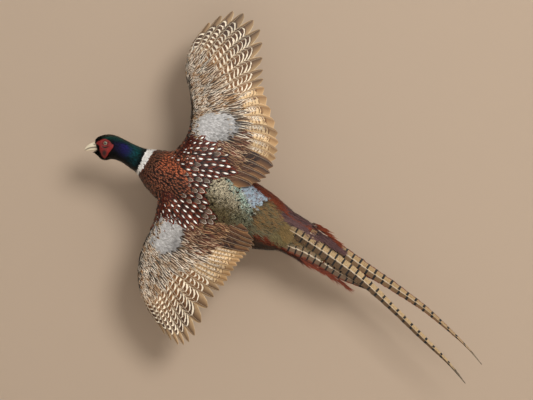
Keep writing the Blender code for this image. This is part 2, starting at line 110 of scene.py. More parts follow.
def blend_rows(rows: Array, at: Array) -> Array:
    """Rows of a table at fractional indices, smooth through every row.

    Args:
        rows: the table, one row for each whole index.
        at: the indices, of any shape.

    Returns:
        The blended rows, with the columns as the last axis.
    """
    rows = np.asarray(rows, float)
    last = len(rows) - 1
    at = np.clip(at, 0, last)
    low = np.minimum(at.astype(int), last - 1)
    t = (at - low)[..., None]
    before, start = rows[np.maximum(low - 1, 0)], rows[low]
    end, after = rows[low + 1], rows[np.minimum(low + 2, last)]
    leave, arrive = (end - before) / 2, (after - start) / 2
    return (start * (2 * t**3 - 3 * t**2 + 1) + leave * (t**3 - 2 * t**2 + t)
            + end * (3 * t**2 - 2 * t**3) + arrive * (t**3 - t**2))


def to_world(back: Array, out: Array, depth: Array) -> Array:
    """World metres of plan millimetres along and across the bird."""
    cos, sin = math.cos(SLOPE), math.sin(SLOPE)
    back, out, depth = np.broadcast_arrays(back, out, depth)
    return np.stack([back * cos + out * sin, depth, -back * sin + out * cos], -1) * MM


def to_plan(points: Array) -> tuple[Array, Array]:
    """Plan millimetres, along and across the bird, of world metres."""
    cos, sin = math.cos(SLOPE), math.sin(SLOPE)
    x, z = points[..., 0] / MM, points[..., 2] / MM
    return x * cos - z * sin, x * sin + z * cos


def inside(outline: Sequence[tuple[float, float]], across: Array, up: Array) -> Array:
    """Whether each point lies inside a closed outline."""
    found = np.zeros(np.shape(across), bool)
    for (x0, y0), (x1, y1) in zip(outline, (*outline[1:], outline[0])):
        crosses = (y0 > up) != (y1 > up)
        found ^= crosses & (across < (x1 - x0) * (up - y0) / ((y1 - y0) or 1e-9) + x0)
    return found


# ---- finishes ---------------------------------------------------------------------


class Graph:
    """The node tree of one material, written as expressions."""

    def __init__(self, name: str) -> None:
        """Starts a material of that name."""
        self.material = bpy.data.materials.new(name)
        self.material.use_nodes = True
        self.tree = self.material.node_tree
        self.shader = self.tree.nodes["Principled BSDF"]

    def __call__(self, kind: str, *inputs: Any, out: int | None = 0, **settings: Any) -> Any:
        """Adds one node with its settings and links.

        Args:
            kind: the node's type without its prefix, or a maths operation in capitals.
            inputs: a socket, a value, an sRGB hex code or None for each open input, in order.
            out: which of its open outputs is wanted, or None for all of them.
            settings: its other properties; a mix is one of colours unless they say otherwise.

        Returns:
            The wanted output socket, or the list of all.
        """
        if kind.isupper():
            kind, settings = "Math", {"operation": kind, **settings}
        elif kind == "Mix":
            settings = {"data_type": "RGBA", "clamp_factor": True, **settings}
        node = self.tree.nodes.new("ShaderNode" + kind)
        for key, value in settings.items():
            setattr(node, key, value)
        for socket, value in zip([s for s in node.inputs if s.enabled], inputs):
            if isinstance(value, bpy.types.NodeSocket):
                self.tree.links.new(value, socket)
            elif value is not None:
                socket.default_value = linear(value) if isinstance(value, str) else value
        found = [s for s in node.outputs if s.enabled]
        return found if out is None else found[out]

    def dress(self, inputs: dict[str, Any]) -> bpy.types.Material:
        """Sets the surface shader's inputs and returns the material."""
        for key, value in inputs.items():
            socket = self.shader.inputs[key]
            if isinstance(value, bpy.types.NodeSocket):
                self.tree.links.new(value, socket)
            else:
                socket.default_value = value
        return self.material


@dataclass(frozen=True)
class Finish:
    """A material, which is made on its first use."""

    name: str

    def build(self) -> bpy.types.Material:
        """Returns the material."""
        return bpy.data.materials.get(self.name) or self.make(Graph(self.name))

    def make(self, g: Graph) -> bpy.types.Material:
        """Adds the nodes and returns the material."""
        raise NotImplementedError


@dataclass
class VaneView:
    """What a vane's pattern is drawn from: its own coordinates and what it carries."""

    g: Graph
    across: Any              # -1 to 1, 0 on the shaft
    side: Any                # 0 on the shaft, 1 at either edge
    along: Any               # 0 at the root, 1 at the tip
    ground: Any
    accent: Any
    chance: Any              # 0 to 1, one number for each feather
    mark: Any
    kind: Any
    bar: Any                 # counts bars along a large feather
    grain: Any               # fine fibre noise that follows the barbs

    def ragged(self, depth: float) -> Any:
        """The side, made uneven by the barbs' grain."""
        return self.g("ADD", self.side, self.g("MULTIPLY_ADD", self.grain, depth, -0.5 * depth))

    def drop(self, start: float, end: float, half: Any) -> Any:
        """A teardrop on the shaft, with its round end toward the tip, as a 0 or 1 mask."""
        g = self.g
        t = g("MapRange", self.along, start, end)
        width = g("MULTIPLY", g("MULTIPLY", t, g("SQRT", g("SUBTRACT", 1.0, t))),
                  g("MULTIPLY", half, DROP_WIDTH))
        return g("GREATER_THAN", width, self.side)

    def patches(self, across: float, bars: float, seed: float, roughness: float) -> Any:
        """Noise that differs between feathers, with so many patches over a half and a bar."""
        g = self.g
        where = g("CombineXYZ", g("MULTIPLY", self.across, across), g("MULTIPLY", self.bar, bars),
                  g("MULTIPLY", self.chance, seed))
        return g("TexNoise", where, 1.0, 3.0, roughness)


@dataclass(frozen=True)
class VaneFinish(Finish):
    """Feather keratin: barbs set close on a shaft, which gives a soft, silky, directional look."""

    name: str = "contour_feather"
    roughness: float = 0.55
    sheen: float = 0.08
    gloss: float = 0.3        # specular level
    coat: float = 0.0
    barbs: float = 30.0       # barb ridges from root to tip that show at this scale
    relief: float = 0.4
    fibre: float = 0.6        # how strongly single barbs differ in brightness
    under: float = 0.3        # painted shade: brightness where the neighbours' tips lie over the vane
    clear: tuple[float, float] = (0.5, 0.78)   # along the vane, where that painted shade ends

    def pattern(self, v: VaneView) -> Any:
        """The colour of the vane before its fibres; plain here."""
        return v.ground

    def make(self, g: Graph) -> bpy.types.Material:
        """Draws the pattern, then the barbs' own grain, a painted shade under the neighbours' tips, and
        relief.
        """
        place, along, _ = g("SeparateXYZ", g("UVMap", uv_map="vane"), out=None)
        across = g("MULTIPLY_ADD", place, 2.0, -1.0)
        side = g("ABSOLUTE", across)
        chance, mark, kind = g("SeparateXYZ", g("Attribute", attribute_name="trait", out=1), out=None)
        # barbs leave the shaft toward the tip, so the fibre coordinate slants with the side
        slant = g("MULTIPLY_ADD", side, -0.22, along)
        seed = g("MULTIPLY", chance, 37.0)
        fibre_at = g("CombineXYZ", g("MULTIPLY", across, 1.2), g("MULTIPLY", slant, self.barbs),
                     seed)
        grain = g("TexNoise", fibre_at, 1.0, 2.0, 0.6)
        view = VaneView(g, across, side, along, g("Attribute", attribute_name="ground"),
                        g("Attribute", attribute_name="accent"), chance, mark, kind,
                        g("Attribute", attribute_name="bar", out=2), grain)
        colour = self.pattern(view)
        # each feather is a little lighter or darker than the next, and its barbs differ
        lightness = g("ADD", g("MULTIPLY_ADD", chance, 0.5, 0.78 - 0.5 * self.fibre),
                      g("MULTIPLY", grain, self.fibre))
        # painted shade: the vane darkens toward its root, where the neighbours' tips lie over it
        shade = g("MapRange", along, *self.clear, self.under)
        shaded = g("VectorMath", colour, g("MULTIPLY", lightness, shade), operation="SCALE")
        bump = g("Bump", self.relief, 0.0005, None, grain)
        return g.dress({
            "Base Color": shaded, "Roughness": self.roughness, "Sheen Weight": self.sheen,
            "Sheen Roughness": 0.4, "Specular IOR Level": self.gloss, "IOR": KERATIN_IOR,
            "Coat Weight": self.coat, "Coat Roughness": 0.3, "Normal": bump,
        })


@dataclass(frozen=True)
class SpottedFinish(VaneFinish):
    """Scapular: chestnut edge, black rim, and a white drop whose centre may be grey-buff.

    A drop is where it starts and ends along the vane, and its half width.
    """

    name: str = "spotted_scapular"
    roughness: float = 0.5
    under: float = 0.06
    clear: tuple[float, float] = (0.46, 0.66)
    black: tuple = (0.4, 0.89, 0.5)
    white: tuple = (0.47, 0.86, 0.235)
    open_drops: tuple = ((0.28, 0.88, 0.58), (0.26, 0.85, 0.52), (0.24, 0.83, 0.46))

    def pattern(self, v: VaneView) -> Any:
        """Chestnut, black and white in drops of growing size."""
        g = v.g
        v.side = v.ragged(0.16)
        shade = g("Mix", g("MapRange", v.grain, 0.3, 0.75), v.ground, v.accent)
        shade = g("Mix", v.drop(*self.black), shade, "120C0A")
        # white at its round end, tan where it runs out toward the root
        pale = g("Mix", g("MapRange", v.along, 0.58, 0.7), "9A7058", "FFFDF8")
        start, end, half = self.white
        shade = g("Mix", v.drop(start, end, g("MULTIPLY", v.mark, half)), shade, pale)
        soft = g("Mix", v.grain, "3E2C24", "8E7A6A")
        for drop, colour in zip(self.open_drops, ("EDE6DA", "3A2A22", soft)):
            shade = g("Mix", g("MULTIPLY", v.drop(*drop), v.kind), shade, colour)
        return shade


@dataclass(frozen=True)
class FleckedFinish(VaneFinish):
    """Mantle and breast: burnished lancet feathers with a black tip notch and dark edges."""

    name: str = "flecked_mantle"
    roughness: float = 0.4
    gloss: float = 0.4
    under: float = 0.1
    clear: tuple[float, float] = (0.42, 0.62)
    notch: float = 0.74       # where along the vane the black notch starts

    def pattern(self, v: VaneView) -> Any:
        """Copper with a painted highlight along its middle, and a black notch as wide as the mark says.
        """
        g, ragged = v.g, v.ragged(0.5)
        notch = g("GREATER_THAN", g("MULTIPLY", g("SUBTRACT", v.along, self.notch), v.mark), ragged)
        # painted highlight: the copper is lighter along the vane's middle
        highlit_copper = g("Mix", g("MULTIPLY", g("SUBTRACT", 1.0, ragged), 0.5), v.ground, "E08A60")
        return g("Mix", g("MAXIMUM", notch, g("MapRange", ragged, 0.4, 0.8)), highlit_copper, v.accent)


@dataclass(frozen=True)
class ScribbledFinish(VaneFinish):
    """Rump: loose woolly tips with a pale curl round a dark middle."""

    name: str = "scribbled_rump"
    roughness: float = 0.7
    sheen: float = 0.15
    gloss: float = 0.15
    relief: float = 0.7
    under: float = 0.15
    clear: tuple[float, float] = (0.4, 0.62)
    middle: float = 0.72      # the ring's centre along the vane
    ring: float = 9.5         # radians of its wave over half a vane
    bent: float = 5.0         # how far the grain bends it

    def pattern(self, v: VaneView) -> Any:
        """A ring and a dot round the tip's middle, bent by noise, as dark as the mark says."""
        g = v.g
        ahead = g("MULTIPLY", g("SUBTRACT", v.along, self.middle), 3.0)
        reach = g("SQRT", g("ADD", g("MULTIPLY", ahead, ahead), g("MULTIPLY", v.side, v.side)))
        wave = g("SINE", g("ADD", g("MULTIPLY", reach, self.ring),
                           g("MULTIPLY_ADD", v.grain, self.bent, v.kind)))
        return g("Mix", g("MULTIPLY", g("MapRange", wave, -0.4, 0.2), v.mark), v.ground, v.accent)


@dataclass(frozen=True)
class HairFinish(VaneFinish):
    """Loose hair-like barbs with no locked vane: silky, streaked along their length."""

    name: str = "loose_feather"
    roughness: float = 0.6
    sheen: float = 0.15
    barbs: float = 4.0
    fibre: float = 0.7
    clear: tuple[float, float] = (0.1, 0.5)

    def pattern(self, v: VaneView) -> Any:
        """Ground at the root, going to the accent toward the tip."""
        g = v.g
        return g("Mix", g("MULTIPLY", g("POWER", v.along, 2.0), v.mark), v.ground, v.accent)


@dataclass(frozen=True)
class GlossyFinish(VaneFinish):
    """Head and neck: velvety black barbules whose flat sides throw back a metallic colour."""

    name: str = "glossy_head_feather"
    roughness: float = 0.36
    gloss: float = 0.16
    sheen: float = 0.0
    coat: float = 0.02
    fibre: float = 0.9
    barbs: float = 12.0
    under: float = 0.2

    def pattern(self, v: VaneView) -> Any:
        """The metallic colour in the middle of each tip, black round it."""
        g = v.g
        edge = g("MULTIPLY", g("MapRange", v.ragged(0.9), 0.25, 0.8), v.mark)
        return g("Mix", edge, v.ground, v.accent)


@dataclass(frozen=True)
class CovertFinish(VaneFinish):
    """Wing covert: dark centre and shaft side inside pale, uneven edges."""

    name: str = "wing_covert"
    roughness: float = 0.58
    under: float = 0.2
    clear: tuple[float, float] = (0.3, 0.56)
    tip: tuple[float, float] = (4.5, -3.4)    # how the margin widens along the vane
    soft: tuple[float, float] = (0.85, 1.1)   # where the centre ends and the margin is full

    def pattern(self, v: VaneView) -> Any:
        """A pale margin of the mark's width round a mottled centre."""
        g = v.g
        margin = g("MAXIMUM", v.ragged(0.6), g("MULTIPLY_ADD", v.along, *self.tip))
        edge = g("MapRange", margin, *(g("SUBTRACT", share, v.mark) for share in self.soft))
        centre = g("Mix", g("MULTIPLY", v.grain, 0.14), v.accent, v.ground)
        return g("Mix", edge, centre, g("Mix", v.kind, v.ground, "FFF6E6"))


@dataclass(frozen=True)
class BarredFinish(VaneFinish):
    """Flight feather: firm, smooth vane with slanted pale wedges that stop short of the tip."""

    name: str = "barred_primary"
    roughness: float = 0.5
    barbs: float = 110.0
    relief: float = 0.25
    fibre: float = 0.4
    under: float = 0.6
    clear: tuple[float, float] = (0.0, 0.25)
    vane: str = "432917"
    warm: str = "96683C"     # the vane toward its root
    fleck: str = "3A2414"
    bars: str = "FAEDD6"
    tip: tuple[str, str] = ("5A4029", "A88A66")
    edge: str = "D9C3A0"
    narrow: float = 0.1      # a bar's width at the shaft, in bar spacings
    wide: float = 0.56       # its width where the neighbour covers the vane
    outer: float = 0.4       # how strong the bars are on the outer vane
    slant: float = 0.35
    plain: float = 2.3       # spacings from the tip that carry no bars
    broken: float = 0.8      # how far blotches shift the bars, in spacings
    streak: float = 0.0      # how much of the shaft's side is mottled white
    streak_width: float = 0.34
    rim: float = 0.86        # where the pale rim starts, from shaft to edge

    def pattern(self, v: VaneView) -> Any:
        """Wedges that widen from the shaft to the inner edge, then a plain tip."""
        g = v.g
        blotch, fine = v.patches(2.2, 1.6, 53.0, 0.6), v.patches(7.0, 4.0, 31.0, 0.7)
        reach = g("MULTIPLY", v.side, 1.45)
        at = g("ADD", g("MULTIPLY_ADD", reach, -self.slant, v.bar),
               g("MULTIPLY_ADD", blotch, self.broken, g("MULTIPLY", v.chance, 0.2)))
        half = g("MULTIPLY_ADD", reach, 0.5 * (self.wide - self.narrow), 0.5 * self.narrow)
        bar = g("MapRange", g("SUBTRACT", half, g("PINGPONG", at, 0.5)), -0.02, 0.03)
        inner = g("LESS_THAN", v.across, 0.0)
        bar = g("MULTIPLY", bar, g("MULTIPLY_ADD", inner, 1.0 - self.outer, self.outer))
        # the ground turns from dark near the tip to ochre at the root
        rooted = g("MapRange", g("MULTIPLY_ADD", v.bar, 0.045, blotch), 0.68, 1.1)
        base = g("Mix", v.kind, g("Mix", rooted, self.vane, self.warm), self.warm)
        base = g("Mix", g("MULTIPLY", g("LESS_THAN", fine, 0.42), 0.8), base, self.fleck)
        barred = g("Mix", bar, base, self.bars)
        # a white mottled streak beside the shaft, which fades out before the tip
        inward = g("MapRange", v.bar, self.plain - 0.4, self.plain + 2.6, 0.2, 0.0)
        mottle = g("MULTIPLY", g("GREATER_THAN", g("SUBTRACT", fine, inward), 0.5),
                   g("LESS_THAN", v.side, self.streak_width))
        barred = g("Mix", g("MULTIPLY", mottle, self.streak), barred, "F6EEDF")
        worn = g("MULTIPLY_ADD", fine, 0.3, g("MULTIPLY_ADD", reach, 0.9, -0.25))
        tip = g("Mix", g("MapRange", worn, 0.0, 0.8), *self.tip)
        ends = g("MapRange", g("MULTIPLY_ADD", blotch, 0.8, v.bar), self.plain + 0.2, self.plain + 0.65)
        rim = g("GREATER_THAN", v.side, self.rim)
        return g("Mix", rim, g("Mix", ends, tip, barred), self.edge)


@dataclass(frozen=True)
class TailFinish(VaneFinish):
    """Tail feather: long firm vane, buff on the upper vane and painted darker on the lower vane as shade,
    with narrow black bars.
    """

    name: str = "barred_tail"
    roughness: float = 0.5
    barbs: float = 300.0
    relief: float = 0.3
    fibre: float = 0.4
    under: float = 0.55
    clear: tuple[float, float] = (0.02, 0.16)
    bar_share: float = 0.24   # a bar's width, in bar spacings
    bar_step: float = 0.16    # how far bars shift from one side of the shaft to the other
    shaft: tuple[float, float] = (0.1, 0.6)    # how wide and how far along the pale shaft shows
    point: tuple[float, float] = (0.9, 0.95)   # where the dark point starts and is full

    def pattern(self, v: VaneView) -> Any:
        """Black bars that step at the shaft, and a dark point."""
        g = v.g
        upper = g("GREATER_THAN", v.across, 0.0)
        speck = v.patches(9.0, 14.0, 1.0, 0.7)
        buff = g("Mix", g("MapRange", speck, 0.35, 0.7, 0.0, 0.8), v.ground, v.accent)
        # painted shade: the lower vane goes toward the darker accent, with mottling
        lower_vane_shade = g("MULTIPLY_ADD", speck, 0.5, g("SUBTRACT", v.mark, 0.25))
        vane = g("Mix", upper, g("Mix", lower_vane_shade, v.ground, v.accent), buff)
        fringe = g("GREATER_THAN", g("ADD", v.side, g("MULTIPLY", v.grain, 0.25)), v.kind)
        vane = g("Mix", fringe, vane, "6A3420")
        step = g("MULTIPLY_ADD", upper, self.bar_step, g("MULTIPLY_ADD", speck, 0.12, v.bar))
        bar = g("LESS_THAN", g("FRACT", step), self.bar_share)
        wide, far = self.shaft
        shaft = g("MULTIPLY", g("LESS_THAN", v.side, wide), g("LESS_THAN", v.along, far))
        barred = g("Mix", bar, g("Mix", shaft, vane, "E4DAC6"), "0C0A09")
        return g("Mix", g("MapRange", v.along, *self.point), barred, "17110D")


@dataclass(frozen=True)
class SkinFinish(Finish):
    """Dry skin with down, matt and faintly fuzzy, in the coat's own colours darkened by painted shade
    between tufts of down.
    """

    name: str = "feathered_skin"
    down: float = 900.0           # tufts of down in a metre

    def make(self, g: Graph) -> bpy.types.Material:
        """Darkens the ground between tufts of down, which is painted shade."""
        down = g("TexNoise", g("TexCoord", out=3), self.down, 3.0, 0.6)
        # painted shade: the coat's colours are darkened between tufts of down
        colour = g("VectorMath", g("Attribute", attribute_name="ground"),
                   g("MULTIPLY_ADD", down, 0.6, 0.2), operation="SCALE")
        return g.dress({"Base Color": colour, "Roughness": 0.8, "Specular IOR Level": 0.2})


@dataclass(frozen=True)
class BareSkinFinish(Finish):
    """Warty bare skin: soft, slightly moist, blood red, with painted shade in the pits between warts."""

    name: str = "bare_red_skin"
    warts: float = 750.0          # warts in a metre

    def make(self, g: Graph) -> bpy.types.Material:
        """Red with painted shade in its pits, darker toward the lobe's lower middle, the black crease and
        the lid's rim.
        """
        where = g("TexCoord", out=3)
        warts = g("TexVoronoi", where, self.warts)
        mottle = g("TexNoise", where, 260.0, 3.0, 0.6)
        crease, lobe_dark, lid = g("SeparateXYZ", g("Attribute", attribute_name="trait", out=1), out=None)
        red = g("Mix", mottle, "5C0B0D", "B8241E")
        # painted shade: darker in the pits between warts
        shaded_pits = g("Mix", g("MapRange", warts, 0.25, 0.75, 0.0, 0.6), red, "5E0E10")
        # darker toward the lobe's lower middle
        ragged = g("MULTIPLY_ADD", mottle, 0.5, g("SUBTRACT", lobe_dark, 0.25))
        low = g("Mix", g("MapRange", ragged, 0.1, 0.85, 0.0, 0.95), shaded_pits, "160608")
        dark = g("Mix", g("MapRange", crease, 0.3, 0.55), low, "050607")
        lidded = g("Mix", g("MULTIPLY", lid, 0.5), dark, "4A0E12")
        bump = g("Bump", 0.6, 0.0004, None, warts, invert=True)
        return g.dress({"Base Color": lidded, "Roughness": 0.42, "Subsurface Weight": 0.15,
                        "Subsurface Radius": (0.004, 0.001, 0.0006), "Subsurface Scale": 0.3,
                        "Normal": bump})


@dataclass(frozen=True)
class EyeFinish(Finish):
    """Painted glass: a straw-grey iris round a black pupil, wet and very smooth."""

    name: str = "painted_glass_eye"
    pupil: tuple[float, float] = (2.2, 2.5)     # radii between which it ends, in mm
    iris: tuple[float, float] = (3.0, 3.7)      # and where the iris does

    def make(self, g: Graph) -> bpy.types.Material:
        """Rings about the eye's axis, with faint rays in the iris."""
        radius, rays, _ = g("SeparateXYZ", g("Attribute", attribute_name="trait", out=1), out=None)
        iris = g("Mix", g("MULTIPLY_ADD", rays, 0.2, 0.4), "A39C86", "C4BB9C")
        rim = g("Mix", g("MapRange", radius, *self.iris), iris, "3A2A1A")
        pupil = g("Mix", g("MapRange", radius, *self.pupil), "040404", rim)
        return g.dress({"Base Color": pupil, "Roughness": 0.12, "Coat Weight": 1.0,
                        "Coat Roughness": 0.02, "IOR": 1.5})


@dataclass(frozen=True)
class BillFinish(Finish):
    """Bill horn: dense keratin with growth streaks, ivory, smooth with a soft shine."""

    name: str = "bill_horn_keratin"

    def make(self, g: Graph) -> bpy.types.Material:
        """Ivory streaks, browner at root, tip and mouth, with painted shade in the nostril."""
        share, dark, gape = g("SeparateXYZ", g("Attribute", attribute_name="trait", out=1), out=None)
        streak = g("TexNoise", g("VectorMath", g("TexCoord", out=3), (120, 900, 700),
                                 operation="MULTIPLY"), 1.0, 3.0, 0.6)
        ivory = g("Mix", streak, "DDCDA6", "FFF8E6")
        root = g("Mix", g("MapRange", share, 0.0, 0.35, 0.4, 0.0), ivory, "8E7A58")
        tip = g("Mix", g("MapRange", share, 0.75, 1.0, 0.0, 0.5), root, "A88A62")
        mouth = g("Mix", g("MapRange", gape, 0.5, 0.9, 0.0, 0.85), tip, "3E2E1E")
        # painted shade: the nostril's hollow is darkened
        shaded_nostril = g("Mix", g("MapRange", dark, 0.3, 0.6, 0.0, 0.92), mouth, "2A2018")
        return g.dress({"Base Color": shaded_nostril, "Roughness": 0.36, "IOR": KERATIN_IOR,
                        "Coat Weight": 0.2, "Coat Roughness": 0.2})


@dataclass(frozen=True)
class ShaftFinish(Finish):
    """Feather shaft: hollow keratin, pale ivory, smooth and lightly glossy."""

    name: str = "feather_shaft_keratin"

    def make(self, g: Graph) -> bpy.types.Material:
        """Faint lengthwise streaks."""
        streak = g("TexNoise", g("TexCoord", out=3), 300.0, 2.0, 0.5)
        return g.dress({"Base Color": g("Mix", streak, "A88C68", "E2D2B8"),
                        "Roughness": 0.4, "IOR": KERATIN_IOR})


@dataclass(frozen=True)
class SolidFinish(Finish):
    """A plain solid's material with a real grain: colours, roughness, metal and grain size."""

    dark: str
    light: str
    roughness: float
    metallic: float
    grain: tuple[float, float, float]
    relief: float

    def make(self, g: Graph) -> bpy.types.Material:
        """Mixes its two colours by the grain, which also raises it."""
        where = g("VectorMath", g("TexCoord", out=3), self.grain, operation="MULTIPLY")
        noise = g("TexNoise", where, 1.0, 4.0, 0.6)
        bump = g("Bump", self.relief, 0.0004, None, noise)
        return g.dress({"Base Color": g("Mix", noise, self.dark, self.light),
                        "Roughness": self.roughness, "Metallic": self.metallic, "Normal": bump})


# oiled walnut, planed: open grain that runs along the plate, low sheen
WALNUT = SolidFinish("oiled_walnut", "24130B", "5A3620", 0.45, 0.0, (60.0, 500.0, 420.0), 0.3)
# blackened steel rod: dark oxide with faint drawing marks
BLACK_STEEL = SolidFinish("blackened_steel", "1A1A1B", "38383A", 0.42, 1.0, (900, 60, 900), 0.1)
# leg scutes: dry horny plates, grey-brown with paler edges
LEG_SCALE = SolidFinish("leg_scutes", "5A5048", "A39684", 0.5, 0.0, (900.0, 900.0, 900.0), 0.4)
# claws and spur: dense dark horn, smooth and worn to a soft shine
CLAW_HORN = SolidFinish("claw_horn", "17120E", "3E3226", 0.34, 0.0, (300.0, 1500.0, 300.0), 0.15)


# ---- surfaces that feathers lie on ---------------------------------------------------


def grid_quads(rows: int, columns: int, closed: bool = False) -> Array:
    """Faces of a grid of points numbered row by row.

    Args:
        rows: its rows.
        columns: points in each row.
        closed: whether each row's last point joins its first.

    Returns:
        Four vertex numbers for each face, along the row first.
    """
    column = np.arange(columns if closed else columns - 1)
    a = np.arange(rows - 1)[:, None] * columns + column
    b = np.arange(rows - 1)[:, None] * columns + (column + 1) % columns
    return np.stack([a, b, b + columns, a + columns], -1).reshape(-1, 4)


def end_caps(rows: int, sides: int, flip_first: bool) -> Array:
    """Faces that close both ends of a grid whose rows run round, with one end's faces flipped."""
    k = np.arange(1, sides // 2)
    first = np.stack([k - 1, k, sides - k, (sides - k + 1) % sides], 1)
    last = first + (rows - 1) * sides
    return np.concatenate([first[:, ::-1], last] if flip_first else [first, last[:, ::-1]])


class Ground:
    """A surface that feathers lie on, with smooth outward normals."""

    def __init__(self, points: Array, faces: Array) -> None:
        """Builds the search tree of a mesh of quads or triangles."""
        self.points, self.faces = np.asarray(points, float), np.asarray(faces)
        self.tree = BVHTree.FromPolygons(self.points.tolist(), self.faces.tolist())
        corners = self.points[self.faces]
        flat = np.cross(corners[:, 2] - corners[:, 0], corners[:, -1] - corners[:, 1])
        at_vertex = np.zeros_like(self.points)
        for k in range(self.faces.shape[1]):
            np.add.at(at_vertex, self.faces[:, k], flat)
        self.normals = unit(unit(at_vertex)[self.faces].mean(1))

    def snap(self, points: Array) -> tuple[Array, Array]:
        """The nearest place on the surface to each point.

        Args:
            points: places in metres, with the coordinates as the last axis.

        Returns:
            The nearest places, and the smooth normals there.
        """
        shape = points.shape
        places, index = np.empty((points.size // 3, 3)), np.empty(points.size // 3, int)
        for k, point in enumerate(points.reshape(-1, 3).tolist()):
            place, _, face, _ = self.tree.find_nearest(point)
            places[k], index[k] = place, face
        return places.reshape(shape), self.normals[index].reshape(shape)


def triangles(mesh: bpy.types.Mesh) -> Array:
    """A mesh's faces as rows of three vertex numbers."""
    mesh.calc_loop_triangles()
    return np.array([tuple(t.vertices) for t in mesh.loop_triangles])


def drape(back: tuple[float, float], out: tuple[float, float], trees: Sequence[BVHTree],
          rest: float | None = None, gap: float = 3.0) -> Ground:
    """A soft sheet laid from the viewer's side over what the trees hold.

    Args:
        back: its ends along the bird, in plan millimetres.
        out: its ends across the bird.
        trees: the surfaces under it.
        rest: its depth where nothing is under it; the deepest hit when None.
        gap: spacing of its grid.

    Returns:
        The sheet as ground for feathers.
    """
    along, across = np.meshgrid(np.arange(*back, gap), np.arange(*out, gap), indexing="ij")
    depth = np.full(along.shape, np.nan)
    for k in np.ndindex(along.shape):
        start = Vector(to_world(along[k], across[k], -300.0).tolist())
        hits = [t.ray_cast(start, TOWARD_WALL, 0.3)[0] for t in trees]
        found = [h.y / MM for h in hits if h is not None]
        if found:
            depth[k] = min(found)
    missing = np.isnan(depth)
    depth[missing] = np.nanmax(depth) if rest is None else rest
    if rest is not None:
        depth = np.minimum(depth, rest)
    for _ in range(10):
        soft = depth.copy()
        soft[1:-1, 1:-1] = (depth[:-2, 1:-1] + depth[2:, 1:-1] + depth[1:-1, :-2]
                            + depth[1:-1, 2:] + 2 * depth[1:-1, 1:-1]) / 6
        depth = np.minimum(soft, np.where(missing, depth, depth + 0.4))
    faces = grid_quads(*along.shape)[:, [0, 3, 2, 1]]
    return Ground(to_world(along, across, depth).reshape(-1, 3), faces)


@dataclass(frozen=True)
class Spine:
    """The body's run from bill base to tail coverts, the same as the solids'.

    Each row has the section's centre (x, z, y) and its reach up, down, near and far, in mm.
    """

    roundness: float = 2.15
    rows: tuple = (
        (-218.8, 96.6, -118, 10.5, 12.9, 9.0, 9.0), (-214.8, 97.5, -118, 18.0, 18.6, 12.5, 12.5),
        (-207.9, 97.3, -118, 21.8, 24.6, 15.0, 15.0), (-199.5, 97.1, -118, 23.3, 26.0, 17.0, 17.0),
        (-189.0, 96.6, -118, 23.6, 23.3, 18.0, 18.0), (-176.7, 93.9, -118, 20.6, 22.4, 19.0, 19.0),
        (-161.6, 86.7, -117, 19.8, 21.0, 20.5, 20.5), (-141.7, 75.4, -114, 22.5, 23.5, 23.5, 23.5),
        (-131.7, 70.3, -112, 25.4, 25.0, 26.0, 27.0), (-117.4, 61.8, -109, 34.6, 32.2, 34.0, 37.0),
        (-91.2, 44.6, -106, 51.0, 44.5, 44.0, 51.0), (-51.3, 26.6, -105, 59.0, 59.0, 50.0, 61.0),
        (-3.8, 5.7, -105, 62.5, 62.5, 50.0, 62.0), (45.6, -17.1, -104, 59.0, 59.0, 46.0, 57.0),
        (98.8, -45.6, -101, 53.0, 55.0, 38.0, 46.0), (138.7, -64.6, -99, 40.7, 38.0, 27.0, 32.0),
        (167.2, -79.8, -98, 38.8, 35.0, 18.0, 22.0), (193.8, -95.0, -97, 30.3, 36.0, 9.0, 13.0),
        (216.6, -108.3, -97, 20.0, 22.0, 4.5, 7.0))

    def run(self, at: Array) -> Array:
        """The unit direction (x, z) of the spine at each station."""
        ahead, behind = blend_rows(self.rows, at + 0.05), blend_rows(self.rows, at - 0.05)
        return unit(ahead[..., :2] - behind[..., :2])

    def place(self, at: Array, angle: Array) -> Array:
        """Points of the body's outside at stations and angles round it.

        Args:
            at: station numbers.
            angle: radians; 0 is up, a quarter turn is out of the wall.

        Returns:
            The places in metres.
        """
        row, run = blend_rows(self.rows, at), self.run(at)
        power = 2 / self.roundness
        across = np.sign(np.cos(angle)) * np.abs(np.cos(angle)) ** power
        deep = np.sign(np.sin(angle)) * np.abs(np.sin(angle)) ** power
        across = across * np.where(across > 0, row[..., 3], row[..., 4])
        deep = deep * np.where(deep > 0, row[..., 5], row[..., 6])
        return MM * np.stack([row[..., 0] - run[..., 1] * across, row[..., 2] - deep,
                              row[..., 1] + run[..., 0] * across], -1)

    def locate(self, points: Array) -> tuple[Array, Array]:
        """The station and the angle of any points near the body."""
        at = np.linspace(0, len(self.rows) - 1, 300)
        centres, run = blend_rows(self.rows, at), self.run(at)
        plan = points[:, [0, 2]] / MM
        nearest = np.concatenate([
            np.argmin(((part[:, None] - centres[None, :, :2]) ** 2).sum(2), 1)
            for part in np.array_split(plan, max(1, len(plan) // 8000))])
        off = plan - centres[nearest, :2]
        across = -off[:, 0] * run[nearest, 1] + off[:, 1] * run[nearest, 0]
        deep = centres[nearest, 2] - points[:, 1] / MM
        return at[nearest], np.arctan2(deep, across)

    def clearance(self, points: Array) -> tuple[Array, Array, Array]:
        """The station, the angle and the distance in mm from the body's outside of any points."""
        at, angle = self.locate(points)
        return at, angle, np.linalg.norm(points - self.place(at, angle), axis=1) / MM


SPINE = Spine()


